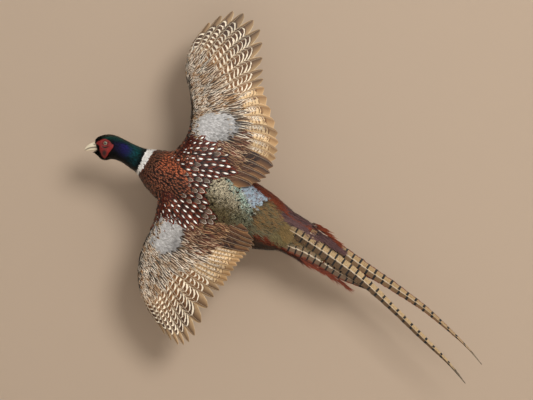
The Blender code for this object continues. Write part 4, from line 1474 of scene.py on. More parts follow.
@dataclass
class BodyCoat:
    """Contour feathers of head, neck and body, all round."""

    coat: Coat
    skin: Skin
    first: float = 0.25
    last: float = 17.9
    # visible length, spacing across, feather length and width at each station, in mm
    stations: tuple = (0, 2, 5, 7, 7.7, 8.9, 9.5, 11, 12.1, 12.6, 15, 18)
    pitch: tuple = (1.5, 2.0, 2.8, 3.2, 2.4, 2.5, 4.4, 5.2, 3.8, 3.0, 3.5, 5.5)
    spread: tuple = (1.4, 1.9, 2.5, 2.8, 2.1, 2.2, 3.1, 3.7, 3.1, 2.8, 3.2, 4.0)
    lengths: tuple = (4.0, 5.5, 8.0, 8.5, 6.0, 6.8, 14, 17, 12.5, 11.5, 13, 20)
    widths: tuple = (2.4, 3.0, 4.2, 4.4, 3.0, 3.0, 4.0, 4.8, 4.6, 4.3, 4.6, 5.0)

    def roots(self) -> tuple[Array, Array, Array]:
        """Staggered rows of roots: their places, stations and angles."""
        rng = self.coat.chance
        at, rows = self.first, []
        turn = np.linspace(0, 2 * math.pi, 181)
        odd = False
        while at < self.last:
            ring = SPINE.place(np.full(181, at), turn)
            girth = np.concatenate([[0], np.cumsum(np.linalg.norm(np.diff(ring, axis=0), axis=1))])
            count = max(8, int(girth[-1] / MM / np.interp(at, self.stations, self.spread)))
            share = (np.arange(count) + 0.5 * odd) / count * girth[-1]
            rows.append(np.stack([np.full(count, at), np.interp(share, girth, turn)], 1))
            ahead = SPINE.place(np.array([at, at + 0.1]), np.array([1.57, 1.57]))
            mm_per_station = np.linalg.norm(ahead[1] - ahead[0]) / MM / 0.1
            at += np.interp(at, self.stations, self.pitch) / max(mm_per_station, 3.0)
            odd = not odd
        rows = np.concatenate(rows)
        rows += rng.uniform(-1, 1, rows.shape) * np.array([0.04, 0.03])
        return SPINE.place(rows[:, 0], rows[:, 1]), rows[:, 0], rows[:, 1]

    def clear_of_face(self, place: Array) -> Array:
        """Whether roots are off the bare face, the eyes and the bill."""
        x, z = place[:, 0] / MM, place[:, 2] / MM
        bare = inside(Face.outline_at_head(0.93), x, z) & (x > -240)
        side_on = np.abs(place[:, 1] / MM - HEAD_Y) > 4.5
        return ~(bare & side_on)

    def build(self) -> None:
        """Grows every region's feathers as pieces of their own."""
        place, at, angle = self.roots()
        keep = self.clear_of_face(place) & ~under_scapulars(place)
        place, at, angle = place[keep], at[keep], angle[keep]
        rng, count = self.coat.chance, len(at)
        ahead = SPINE.place(np.minimum(at + 0.12, 18), angle) - place
        # a feather is marked for the place where its tip shows
        gap = np.maximum(np.linalg.norm(ahead, axis=1) / MM, 0.5) / 0.12
        shown = at + 0.75 * np.interp(at, self.stations, self.lengths) / np.maximum(gap, 3)
        shown = np.minimum(shown, 18.0)
        paint = PLUMAGE.paint(SPINE.place(shown, angle), shown, angle)
        lie = unit(np.where((at > 17.7)[:, None], to_world(1.0, 0.0, 0.0), ahead))
        ruffle = np.interp(at, (8, 9.5), (0.1, 0.17))[:, None]
        lie = unit(lie + ruffle * rng.standard_normal((count, 3)))
        scale = rng.normal(1, 0.1, count)
        roots = Roots.of(place, lie, np.interp(at, self.stations, self.lengths) * scale,
                         np.interp(at, self.stations, self.widths) * scale,
                         paint.ground, paint.accent, paint.mark,
                         bend=rng.normal(0, 0.08, count),
                         lift=rng.uniform(0.4, 1.7, count) * np.interp(at, (7, 9), (0.45, 1.0)))
        finishes = {
            Region.HEAD: (GlossyFinish(), "neck_feathers"),
            Region.RING: (VaneFinish(name="ring_feather", under=0.9, fibre=0.12), "neck_feathers"),
            Region.MANTLE: (FleckedFinish(), "body_feathers"),
            Region.RUMP: (ScribbledFinish(), "body_feathers"),
            Region.BELLY: (BELLY_FINISH, "body_feathers"),
        }
        for region, (finish, slot) in finishes.items():
            part = roots.pick(paint.kind == region)
            if region == Region.RING:
                part.width *= 1.4
            if region == Region.RUMP:
                # woolly curls point all ways; the smooth blue-grey ones keep in line
                loose_lie = np.where(part.mark < 0.95, 0.16, 0.45)[:, None]
                part.lie = unit(part.lie + loose_lie * rng.standard_normal(part.lie.shape))
                part.bend = rng.normal(0, 0.25, len(part.bend)) * (part.mark > 0.95)
                part.width *= np.where(part.mark < 0.95, 1.35, 1.0)
            self.coat.grow("coat_" + region.value, part, SMALL, self.skin.ground, finish, slot)
        self.grow_loose(roots.pick(paint.kind == Region.LOOSE))
        self.grow_bill_root()
        self.grow_shoulders()
        self.grow_thighs()

    def grow_bill_root(self) -> None:
        """Tiny black feathers on chin and forehead, up to the horn."""
        rng, place = self.coat.chance, self.skin.vertices()
        x, z = place[:, 0] / MM, place[:, 2] / MM
        near_bill = (x > -232) & (x < -207) & ((z < 92) | (z > 105))
        place = place[near_bill & self.clear_of_face(place)]
        place = np.repeat(place, 2, 0) + rng.normal(0, 0.0007, (2 * len(place), 3))
        lie = unit(np.array([1.0, 0.0, -0.35]) + 0.2 * rng.standard_normal(place.shape))
        roots = Roots.of(place, lie, rng.uniform(2.6, 4.4, len(place)), 1.9, tint("040505"),
                         tint("020303"), mark=0.5, lift=rng.uniform(0.2, 0.6, len(place)))
        self.coat.grow("coat_chin", roots, SMALL, self.skin.ground, GlossyFinish(),
                       "neck_feathers")

    def grow_shoulders(self) -> None:
        """Chestnut feathers in the hollow where each wing's front edge leaves the mantle."""
        place = self.skin.vertices()
        back, out = to_plan(place)
        off_body = SPINE.clearance(place)[2]
        chosen = (back < -48) & (np.abs(out) > 34) & (np.abs(out) < 94) & (off_body > 4)
        place, out = place[chosen][::3], out[chosen][::3]
        self.grow_short(SHOULDER_DOWN, place, to_world(np.ones(len(place)), 0.3 * np.sign(out), 0.0))

    def grow_thighs(self) -> None:
        """Short soft feathers down to where the bare shanks start."""
        place = self.skin.vertices()
        thighs = [Ground(np.array([tuple(v.co) for v in self.skin.nodes[name].data.vertices]),
                         triangles(self.skin.nodes[name].data)).tree
                  for name in ("thigh_left", "thigh_right")]
        close = np.array([min(t.find_nearest(p)[3] for t in thighs) for p in place.tolist()])
        self.grow_short(THIGH_DOWN, place[close < 2.2 * MM][::2], to_world(1.0, 0.0, 0.0))

    def grow_short(self, down: ShortFeathers, place: Array, lie: Array) -> None:
        """Grows a patch of short feathers.

        Args:
            down: how they look.
            place: their roots in metres.
            lie: where they point, before each one's own difference is added.
        """
        rng = self.coat.chance
        place = place + rng.normal(0, 0.0012, place.shape)
        lie = unit(lie + down.ruffle * rng.standard_normal(place.shape))
        ground = mixed(*(tint(code) for code in down.ground), rng.random(len(place)))
        roots = Roots.of(place, lie, rng.uniform(*down.length, len(place)), down.width, ground,
                         tint(down.accent), mark=1.6, lift=rng.uniform(*down.lift, len(place)))
        self.coat.grow(down.name, roots, SMALL, self.skin.ground, down.finish, "body_feathers")

    def grow_loose(self, base: Roots) -> None:
        """Hair-like strands over the rufous and purple sides."""
        rng, strands = self.coat.chance, 2
        many = base.repeated(strands)
        count = len(many.place)
        many.place = many.place + rng.normal(0, 0.0016, (count, 3))
        many.lie = unit(many.lie + 0.16 * rng.standard_normal((count, 3)))
        many.length = rng.uniform(13, 26, count)
        many.width = rng.uniform(1.0, 2.0, count)
        many.bend = rng.normal(0, 0.08, count)
        many.lift = rng.uniform(0.2, 1.6, count)
        self.coat.grow("coat_loose", many, HAIR, self.skin.ground, HairFinish(), "body_feathers")


# ---- face ---------------------------------------------------------------------------------


@dataclass
class Face:
    """Eyes, lids and bare red skin on both sides of the head."""

    skin: Skin
    offset: float = 12.6      # the eyeball's middle from the head's, in mm
    ball: float = 5.0         # its radius
    # the bare skin's outline about the eye
    outline = ((-18.4, 0.2), (-15.0, 3.6), (-10.4, 5.0), (-7.0, 7.2), (-2.4, 8.2), (4.4, 6.1),
               (9.0, 3.1), (10.8, 0.4), (12.0, -1.2), (15.6, -3.0), (14.2, -8.3), (11.1, -12.5),
               (6.1, -18.4), (3.1, -24.3), (-1.5, -29.0), (-5.7, -26.0), (-9.1, -19.2),
               (-11.2, -12.5), (-11.4, -5.7), (-14.0, -3.0), (-17.6, -1.6))

    @classmethod
    def outline_at_head(cls, grow: float) -> list[tuple[float, float]]:
        """The bare skin's outline in world x and z, in mm, scaled about the eye."""
        return [(EYE[0] + x * grow, EYE[1] + z * grow) for x, z in cls.outline]

    def build(self) -> None:
        """Builds both sides."""
        for side, sign in (("left", -1), ("right", 1)):
            self.build_wattle(side, sign)
            self.build_eye(side, sign)

    def reach(self, angle: Array) -> Array:
        """How far the bare skin reaches from the eye at each angle, in mm."""
        corner = np.array(self.outline)
        turn = np.unwrap(np.arctan2(corner[:, 1], corner[:, 0]) - math.pi) % (2 * math.pi)
        order = np.argsort(turn)
        return np.interp(angle, turn[order], np.hypot(*corner.T)[order], period=2 * math.pi)

    def relief(self, x: Array, z: Array, radius: Array, rim: Array) -> tuple[Array, Array]:
        """Folds, lid and small warts of the bare skin.

        Args:
            x, z: places from the eye's middle in mm.
            radius: how far they are from it.
            rim: 1 over the sheet, falling to 0 at its outline.

        Returns:
            How far the skin stands out in mm, and how much crease, darkening of the lobe's lower middle
            and lid it shows.
        """
        lobe = np.exp(-(((x + 2.0) / 7) ** 2 + ((z + 17) / 9) ** 2))
        sweep = np.degrees(np.arctan2(z, x)) + 92
        thin = 0.5 + 0.9 * np.exp(-(sweep / 38) ** 2)
        crease = np.exp(-((radius - 8.3) / thin) ** 2) * np.exp(-(sweep / 62) ** 4)
        # darker toward the lobe's lower middle
        lobe_dark = np.exp(-(np.hypot((x + 1.9) / 4.6, (z + 18.5) / 6.4)) ** 2)
        lid = np.exp(-((radius - 4.5) / 0.7) ** 2)
        # warts, small and smaller, are laid out on the head's own axes
        u, v = x + EYE[0], z + EYE[1]
        wart = (np.sin(u * 4.1 + np.sin(v * 2.3)) * np.sin(v * 4.4 + np.sin(u * 1.9))
                + 0.6 * np.sin(u * 7.3 + 2) * np.sin(v * 6.7 + 1))
        swell = 0.2 + 1.5 * rim + 0.9 * lobe * rim - 1.1 * crease + 0.8 * lid
        swell += 0.22 * wart * rim * ramp(radius, 5.0, 6.0)
        return swell, np.stack([crease.ravel(), lobe_dark.ravel(), lid.ravel()], 1)

    def build_wattle(self, side: str, sign: int) -> None:
        """A swollen sheet from the lids to its outline."""
        turns, rings = 128, 26
        angle = np.linspace(0, 2 * math.pi, turns, endpoint=False)
        share = np.linspace(0, 1, rings) ** 0.9
        radius = 3.5 + (self.reach(angle)[:, None] - 3.5) * share[None]
        x = radius * np.cos(angle + math.pi)[:, None]
        z = radius * np.sin(angle + math.pi)[:, None]
        swell, tone = self.relief(x, z, radius, ramp(1 - share, 0.0, 0.22)[None])
        x, z = x + EYE[0], z + EYE[1]
        y = self.cast(x, z, sign) + sign * swell
        # the innermost rings lie on the eyeball
        dome = np.sqrt(np.maximum(self.ball**2 - radius**2, 0))
        y = np.where(radius < 3.9, HEAD_Y + sign * (self.offset + dome + 0.25), y)
        points = np.stack([x, y, z], -1).reshape(-1, 3) * MM
        quads = grid_quads(turns + 1, rings) % (turns * rings)
        inner = points - np.array([0, sign * 1.4 * MM, 0])
        back = quads[:, ::-1] + len(points)
        start_ring, end_ring = np.arange(turns) * rings, np.arange(turns) * rings + rings - 1
        wall_in = np.stack([start_ring, np.roll(start_ring, -1),
                            np.roll(start_ring, -1) + len(points), start_ring + len(points)], 1)
        wall_out = np.stack([np.roll(end_ring, -1), end_ring, end_ring + len(points),
                             np.roll(end_ring, -1) + len(points)], 1)
        faces = np.concatenate([quads, back, wall_in, wall_out])
        if sign > 0:
            faces = faces[:, ::-1]
        piece = quad_object("wattle_skin_" + side, np.concatenate([points, inner]), faces,
                            BareSkinFinish().build(), None, {"trait": np.tile(tone, (2, 1))},
                            sharp=80)
        hand_in(piece, "bare_skin", "wattle_" + side)

    def cast(self, x: Array, z: Array, sign: int) -> Array:
        """The head's outside, in mm of y, behind each place of its side."""
        found = np.full(x.shape, HEAD_Y + sign * 12.0)
        toward = Vector((0, -sign, 0))
        for k in np.ndindex(x.shape):
            start = Vector((x[k] * MM, (HEAD_Y + sign * 40) * MM, z[k] * MM))
            place, _, _, _ = self.skin.ground.tree.ray_cast(start, toward, 0.04)
            if place is not None:
                found[k] = place.y / MM
        # the eye sockets are bridged from their rim
        distance = np.hypot(x - EYE[0], z - EYE[1])
        rim = found[(distance > 6.2) & (distance < 8)].mean()
        return np.where(distance < 6.2, rim, found)

    def build_eye(self, side: str, sign: int) -> None:
        """A glass eye: painted iris and pupil under a clear domed front."""
        rows, turns = 40, 48
        polar = np.linspace(0.02, math.pi - 0.02, rows)
        turn = np.linspace(0, 2 * math.pi, turns, endpoint=False)
        bulge = self.ball * MM * (1 + 0.05 * np.exp(-(polar / 0.5) ** 2))
        off = np.sin(polar)[:, None] * bulge[:, None]
        ring_y = sign * np.cos(polar) * bulge
        points = np.stack([EYE[0] * MM + off * np.cos(turn),
                           (HEAD_Y + sign * self.offset) * MM
                           + np.broadcast_to(ring_y[:, None], (rows, turns)),
                           EYE[1] * MM + off * np.sin(turn)], -1).reshape(-1, 3)
        quads = grid_quads(rows, turns, True)
        poles = np.concatenate([points, [points[:turns].mean(0)], [points[-turns:].mean(0)]])
        first, last = len(points), len(points) + 1
        ring = np.arange(0, turns, 2)
        fan = np.stack([np.full(turns // 2, first), (ring + 2) % turns, ring + 1, ring], 1)
        end = (rows - 1) * turns
        fan_end = np.stack([np.full(turns // 2, last), end + ring, end + ring + 1,
                            end + (ring + 2) % turns], 1)
        faces = np.concatenate([quads, fan, fan_end])
        if sign < 0:
            faces = faces[:, ::-1]
        radius = np.concatenate([np.repeat(np.sin(polar) * self.ball, turns), [0, 0]])
        front = np.concatenate([np.repeat(np.cos(polar), turns), [1, -1]])
        around = np.concatenate([np.tile(turn, rows), [0, 0]])
        trait = np.stack([np.where(front > 0, radius, 9.0), np.sin(around * 9), front], 1)
        piece = quad_object("eye_glass_" + side, poles, faces, EyeFinish().build(), None,
                            {"trait": trait})
        hand_in(piece, "eye_glass", "eye_" + side)


@dataclass
class Bill:
    """The two halves of the horny bill, lofted smooth, with nostrils and a hooked tip."""

    # rows are (x, top, bottom, half width) in mm
    upper: tuple = ((-213.0, 106.3, 96.0, 7.0), (-221.6, 106.3, 95.8, 6.2),
                    (-230.3, 103.3, 94.9, 4.8), (-236.5, 98.8, 92.7, 3.2),
                    (-240.0, 94.4, 90.9, 1.8), (-241.9, 90.4, 88.9, 0.6))
    lower: tuple = ((-213.0, 95.4, 89.7, 5.6), (-222.0, 95.2, 89.7, 5.0),
                    (-229.5, 94.2, 89.8, 3.8), (-235.5, 92.1, 89.4, 2.3),
                    (-238.6, 90.5, 89.2, 0.9))
    nostril: tuple[float, float] = (-222.5, 101.6)    # x and z

    def build(self) -> None:
        """Builds both halves."""
        self.build_half("bill_upper", self.upper, True)
        self.build_half("bill_lower", self.lower, False)

    def pierce(self, x: Array, y: Array, z: Array) -> tuple[Array, Array]:
        """Sinks a nostril under a flap on each side; all in mm.

        Returns:
            The new y of each place, and how much painted shade its hollow gets.
        """
        along, up = x - self.nostril[0], z - self.nostril[1]
        near = np.exp(-((along / 2.6) ** 2 + (up / 1.1) ** 2))
        y = y + 1.5 * near * np.sign(HEAD_Y - y)
        flap = np.exp(-((along / 2.8) ** 2 + ((up - 1.7) / 0.8) ** 2))
        return y - 0.35 * flap * np.sign(HEAD_Y - y), near

    def build_half(self, name: str, rows: tuple, arch: bool) -> None:
        """Builds one half; the upper one is arched over its mouth side, the lower one under it."""
        sections, sides = 44, 28
        at = np.linspace(0, len(rows) - 1, sections)
        x, top, bottom, half = blend_rows(rows, at).T
        half = half * 0.97
        turn = np.linspace(0, math.pi, sides // 2 + 1)
        flat, crest = (bottom, top) if arch else (top, bottom)
        rise = np.sin(turn) ** 0.85
        y_arch = HEAD_Y - half[:, None] * np.cos(turn)
        z_arch = flat[:, None] + (crest - flat)[:, None] * rise
        # the mouth side is gently hollow
        back = np.linspace(0, math.pi, sides // 2 + 1)[1:-1]
        y_flat = HEAD_Y + half[:, None] * np.cos(back)
        z_flat = flat[:, None] + (crest - flat)[:, None] * 0.06 * np.sin(back)
        y = np.concatenate([y_arch, y_flat], 1)
        z = np.concatenate([z_arch, z_flat], 1)
        count = y.shape[1]
        grid_x = np.repeat(x[:, None], count, 1)
        dark = np.zeros_like(y)
        if arch:
            y, dark = self.pierce(grid_x, y, z)
        points = np.stack([grid_x, y, z], -1).reshape(-1, 3)
        faces = np.concatenate([grid_quads(sections, count, True)[:, [0, 3, 2, 1]],
                                end_caps(sections, count, False)])
        if not arch:
            faces = faces[:, ::-1]
        share = np.repeat(np.linspace(0, 1, sections), count)
        gape = np.concatenate([np.exp(-(rise / 0.3) ** 2), np.ones(len(back))])
        gape = np.broadcast_to(gape, y.shape)
        trait = np.stack([share, dark.ravel(), gape.ravel()], 1)
        piece = quad_object(name + "_horn", points * MM, faces, BillFinish().build(), None,
                            {"trait": trait}, sharp=60)
        hand_in(piece, "bill_horn", name)


# ---- wings --------------------------------------------------------------------------------


@dataclass(frozen=True)
class CovertTier:
    """Rows of wing coverts of one size, in mm; chords as in WingPlan.place."""

    first: float
    last: float
    rows: int
    thinned: int       # out on the hand only every so many rows are kept
    gap: float         # spacing along a row
    length: float
    width: float
    margin: float      # share of the vane that is pale edge


COVERT_TIERS = (CovertTier(-0.08, 0.36, 11, 2, 3.5, 12.0, 5.2, 0.38),
                CovertTier(0.42, 0.72, 5, 2, 3.9, 21.0, 5.6, 0.38),
                CovertTier(0.8, 1.0, 4, 2, 4.2, 32.0, 6.0, 0.4))


@dataclass(frozen=True)
class WingRow:
    """A row of large wing feathers."""

    name: str                # its node's name without the wing
    start: float             # station of its inner end
    end: float               # station of its outer end
    count: int
    notch: float             # depth between two tips, in mm
    finish: BarredFinish
    period: float            # spacing of the bars, in mm
    under: tuple[float, float]   # how far inner vanes run under, in pitches, at root and tip
    shaft: float             # the shafts' radius at the root, in mm
    taper: float = 0.85      # where along the vane it starts to narrow
    blunt: float = 2.8       # how blunt the tip is
    leading: bool = False    # whether the last feather is the wing's leading edge

    @property
    def pitch(self) -> float:
        """Stations from one feather to the next."""
        return (self.end - self.start) / self.count


@dataclass
class WingCoat:
    """Small and middle coverts on both faces of one wing, and its flight feathers."""

    coat: Coat
    plan: WingPlan
    grey: tuple               # the grey patch: back, out, half sizes, turn in degrees
    step: float = 0.9         # how far each flight feather stands over the next, in mm
    camber: float = 0.9       # how far its middle stands over its edges
    bow: float = 8.5          # how far the leading primary curves forward

    def spots(self) -> Array:
        """Rows of coverts from the leading edge to where the flight feathers start.

        Returns:
            Their stations, chords, lengths, widths and margins, as five rows.
        """
        fine, parts = np.linspace(0.0, 8.0, 161), []
        for tier in COVERT_TIERS:
            for index, chord in enumerate(np.linspace(tier.first, tier.last, tier.rows)):
                line = self.plan.place(fine, np.full(161, abs(chord)))
                steps = np.linalg.norm(np.diff(line, axis=0), axis=1)
                reach = np.concatenate([[0], np.cumsum(steps)])
                count = int(reach[-1] / MM / tier.gap)
                spots = (np.arange(count) + 0.5 * (index % 2)) / count * reach[-1]
                at = np.interp(spots, reach, fine)
                # the hand is narrow, so some of its rows are left out
                at = at[(at < 4.6) | (index % tier.thinned == 0)]
                sizes = (chord, tier.length, tier.width, tier.margin)
                parts.append(np.stack([at, *(np.full(len(at), size) for size in sizes)]))
        return np.concatenate(parts, 1)

    def roots(self, upper: bool) -> Roots:
        """Where the coverts of one face grow, and how each one lies and is marked."""
        rng, plan = self.coat.chance, self.plan
        at, chord, length, width, margin = self.spots()
        at = np.clip(at + rng.normal(0, 0.03, len(at)), 0, 8)
        chord = chord + rng.normal(0, 0.014, len(at))
        sense = 1 if upper else -1
        size = np.abs(chord)
        lift = sense * np.where(chord >= 0, 1, -1) * 0.5 * plan.thickness(at, size)
        place = plan.place(at, size, lift - 0.5 * plan.edge)
        ahead = unit(plan.place(at, size + 0.05) - plan.place(at, size))
        # the first rows start in front of the edge, so that they wrap it from both sides
        place = place - ahead * np.interp(size, (0.0, 0.09), (4.4, 0.0))[:, None] * MM
        outward = unit(plan.place(np.minimum(at + 0.2, 8), size)
                       - plan.place(np.maximum(at - 0.2, 0), size))
        quill = unit(plan.place(at, 1.6) - plan.place(at, 1.2))
        follow = np.interp(chord, (0, 1), (0.3, 0.95)) * np.interp(at, (0, 3, 5), (0.3, 0.7, 1.0))
        swing = np.interp(at, (0, 3, 5, 8), (0.1, 0.2, 0.5, 0.7)) * np.interp(chord, (0, 1), (1, 0))
        lie = unit(ahead * (1 - follow)[:, None] + quill * follow[:, None]
                   + swing[:, None] * outward + 0.065 * rng.standard_normal(place.shape))
        length = length * np.interp(at, (0, 4.5, 8), (1.0, 1.3, 1.0)) * rng.normal(1, 0.1, len(at))
        width = width * np.interp(at, (2.5, 5), (1.0, 0.8))
        ground, accent, mark, light = self.paint(at, chord, margin, upper)
        return Roots.of(place, lie, length, width * rng.normal(1, 0.1, len(at)), ground, accent,
                        mark, light, bend=rng.normal(0, 0.06, len(at)),
                        lift=rng.uniform(0.5, 1.6, len(at)))

    def paint(self, at: Array, chord: Array, margin: Array, upper: bool) -> tuple:
        """Ground, accent, margin and paleness of the coverts."""
        count = len(at)
        chance = self.coat.chance.random(count)
        ground = mixed(tint("C0925C"), tint("FBEEDA"), chance)
        accent = mixed(tint("1E0F07"), tint("563620"), chance[::-1])
        mark, light = margin - 0.03, 0.95 * chance
        shoulder = at + 0.3 * np.sin(chord * 40) < 1.75
        ground[shoulder], accent[shoulder] = tint("6A2414"), tint("1C0D09")
        light[shoulder] = 0.0
        if not upper:
            lining = chord > 0.1
            ground[lining], accent[lining] = tint("B7A48C"), tint("8E7A64")
            return ground, accent, mark, light
        # the inner wing's longer coverts: maroon-black inside buff and grey-buff edges
        inner = (ramp(-at, -3.3, -2.3) * ramp(chord, 0.4, 0.55)) > self.coat.chance.random(count)
        ground[inner] = mixed(tint("8A6040"), tint("D2AE80"), chance)[inner]
        accent[inner] = mixed(tint("1C0A08"), tint("581C14"), chance)[inner]
        mark[inner] = 0.24
        light[inner] *= 0.3
        return ground, accent, mark, light

    def is_grey(self, place: Array) -> Array:
        """How far each place belongs to the grey shoulder patch, 0 to 1."""
        back, out = to_plan(place)
        middle_back, middle_out, along, across, turn = self.grey
        db, do = back - middle_back, out * self.plan.sign - middle_out
        cos, sin = math.cos(math.radians(turn)), math.sin(math.radians(turn))
        first, second = (db * cos + do * sin) / along, (-db * sin + do * cos) / across
        return ramp(1.16 - np.hypot(first, second), 0.0, 0.42)

    def build(self) -> None:
        """Grows the coverts on both faces, then the flight feathers."""
        rng = self.coat.chance
        for upper, face in ((True, "upper"), (False, "lower")):
            roots, ground = self.roots(upper), self.plan.sheet(upper)
            grey = self.is_grey(roots.place) if upper else np.zeros(len(roots.place))
            if upper:
                bare = ~under_scapulars(roots.place)
                roots, grey = roots.pick(bare), grey[bare]
            soft = rng.random(len(grey)) < grey
            self.coat.grow(f"coverts_{self.plan.side}_{face}", roots.pick(~soft), COVERT, ground,
                           CovertFinish(), "flight_feathers")
            if upper:
                self.build_grey(roots.pick(soft), grey[soft], ground)
        self.build_flight()

    def dimming(self, place: Array) -> Array:
        """Painted shade on the grey patch: the share of its colour kept, full ahead, low at its trailing
        inner end.
        """
        back, out = to_plan(place)
        middle_back, middle_out, along = self.grey[:3]
        trail = (back - middle_back - 0.4 * (out - middle_out * self.plan.sign)) / along
        return np.interp(trail, (0.1, 1.0), (1.0, 0.45))[:, None]

    def build_grey(self, base: Roots, share: Array, ground: Ground) -> None:
        """The soft grey patch: short down below, long loose barbs over it."""
        rng, strands = self.coat.chance, 4
        down = base.repeated(1)
        count = len(down.place)
        down.width, down.length = rng.uniform(6.0, 8.5, count), rng.uniform(12, 17, count)
        down.ground = mixed(tint("6E6862"), tint("B5B5B6"), share)
        down.accent = mixed(tint("9A948C"), tint("DADADC"), share)
        # painted shade: the patch darkens toward its trailing inner end
        painted_shade = self.dimming(down.place)
        down.ground, down.accent = down.ground * painted_shade, down.accent * painted_shade
        down.mark[:], down.kind[:], down.lift[:] = 0.9, 0.0, 0.3
        self.coat.grow(f"down_{self.plan.side}", down, SMALL, ground,
                       HairFinish(name="grey_down", fibre=0.35, under=0.8, barbs=9.0),
                       "flight_feathers")
        many = base.repeated(strands)
        count, share = len(many.place), np.repeat(share, strands)
        many.place = many.place + rng.normal(0, 0.0019, (count, 3))
        many.lie = unit(many.lie + 0.09 * rng.standard_normal((count, 3)))
        many.width, many.length = rng.uniform(0.7, 1.4, count), rng.uniform(10, 21, count)
        many.ground = mixed(tint("5E5750"), tint("A6A6A7"), share)
        chance = share * rng.random(count)
        many.accent = mixed(tint("9C9894"), tint("E0E0E1"), chance)
        # painted shade: the strands darken toward the patch's trailing inner end
        painted_shade = self.dimming(many.place)
        many.ground, many.accent = many.ground * painted_shade, many.accent * painted_shade
        many.mark[:], many.kind[:] = 1.0, 0.0
        many.bend, many.lift = rng.normal(0, 0.07, count), rng.uniform(0.0, 0.7, count)
        self.coat.grow(f"grey_{self.plan.side}", many, HAIR, ground,
                       HairFinish(name="grey_covert_barbs", fibre=0.4, under=0.8,
                                  clear=(0.05, 0.4)), "flight_feathers")

    def build_flight(self) -> None:
        """Tertials, secondaries and primaries, each with its raised shaft."""
        primary = BarredFinish()
        secondary = BarredFinish(name="mottled_secondary", vane="7A5430", warm="B08450",
                                 bars="DCBE92", tip=("8E6A42", "C09C70"), edge="D8BC94",
                                 narrow=0.35, wide=0.8, slant=0.25, plain=2.2, broken=2.2,
                                 streak=0.85)
        tertial = BarredFinish(name="edged_tertial", vane="2A130B", warm="744A31",
                               bars="8A6444", tip=("3A2014", "8C6440"), edge="B8946A",
                               narrow=0.0, wide=0.22, slant=0.8, plain=2.0, broken=1.0)
        for row in (WingRow("tertials", 0.35, 2.2, 5, 5.0, tertial, 14.0, (0.55, 0.45), 0.45),
                    WingRow("secondaries", 2.2, 4.2, 8, 4.0, secondary, 6.6, (0.35, 0.4), 0.6),
                    WingRow("primaries", 4.2, 8.0, 10, 11.0, primary, 9.4, (0.35, 0.2), 0.75,
                            taper=0.72, blunt=2.2, leading=True)):
            self.build_row(row)

    def vane(self, row: WingRow, index: int, t: Array, u: Array) -> tuple[Array, float]:
        """The upper side of one large feather.

        Args:
            row: the row that it belongs to.
            index: its number, from the wing's root outward.
            t: how far along the vane, from its hidden root to its tip.
            u: how far across, from -1 to 1.

        Returns:
            A grid of places in metres, and the feather's length in mm.
        """
        plan, on = self.plan, np.clip(t, 0, 1)
        last = row.leading and index == row.count - 1
        round_off = np.clip((t - row.taper) / (1 - row.taper), 0, 1)
        narrow = np.sqrt(np.maximum(1 - round_off**row.blunt, 0.015))
        tuck = row.under[0] + (row.under[1] - row.under[0]) * on
        reach = np.where(u < 0, u * ((0.76 + tuck) * narrow), u * (0.31 * narrow))
        frayed = self.coat.chance.standard_normal(reach.shape) * (np.abs(u) > 0.99)
        share = 0.76 - 0.16 * round_off + reach * (1 + 0.03 * frayed)
        bowed = 0.0 if last else 0.22 * np.sin(math.pi * on)
        at = np.clip(row.start + row.pitch * (index + share + bowed), 0.02, 8.0)
        root, tip = (plan.place(row.start + row.pitch * (index + 0.5), end) for end in (1.0, 2.0))
        length = np.linalg.norm(tip - root) / MM
        # the tip's two sides fall back, which leaves a notch between neighbours
        notch = row.notch / length * np.abs(2 * np.clip(share, 0, 1) - 1) ** 2.2 * on
        chord = 1 + t * (1 - 0.004) - notch * (t > 0.5)
        height = self.step * share + self.camber * (1 - u**2) * narrow - 0.15
        height = height + 0.5 * np.clip(-t, 0, 1)
        place = plan.place(at, np.maximum(chord, 0.5), height)
        if last:
            ahead = unit(plan.place(8.0, 1.5) - plan.place(7.7, 1.5))
            bow = self.bow * MM * np.sin(math.pi * on**0.8)
            place = place + ahead * (bow * np.clip((share - 0.3) / 0.7, 0, 1))[..., None]
        return place, length

    def build_row(self, row: WingRow) -> None:
        """One row of large feathers as a joined mesh, and their shafts as another."""
        plan, rows, columns = self.plan, 44, 9
        t = np.linspace(-0.12, 1, rows)[:, None]
        u = np.linspace(-1, 1, columns)[None, :]
        on = np.clip(t, 0, 1)
        quads, inner, numbers = closed_sheet(rows, columns)
        uv = np.stack(np.broadcast_arrays(0.5 + 0.5 * u, on), -1).reshape(-1, 2)[numbers]
        thin = (1 - u**2) * (1 - (2 * on - 1) ** 8) * 0.6 * MM
        points, carried, bake, shafts = [], [], [], Tubes(6)
        for index in range(row.count):
            place, length = self.vane(row, index, t, u)
            low = place + np.array([0, 1, 0]) * thin[..., None]
            points.append(np.concatenate([place.reshape(-1, 3), low.reshape(-1, 3)[inner]]))
            bar = np.broadcast_to((1 - t) * length / row.period, (rows, columns))
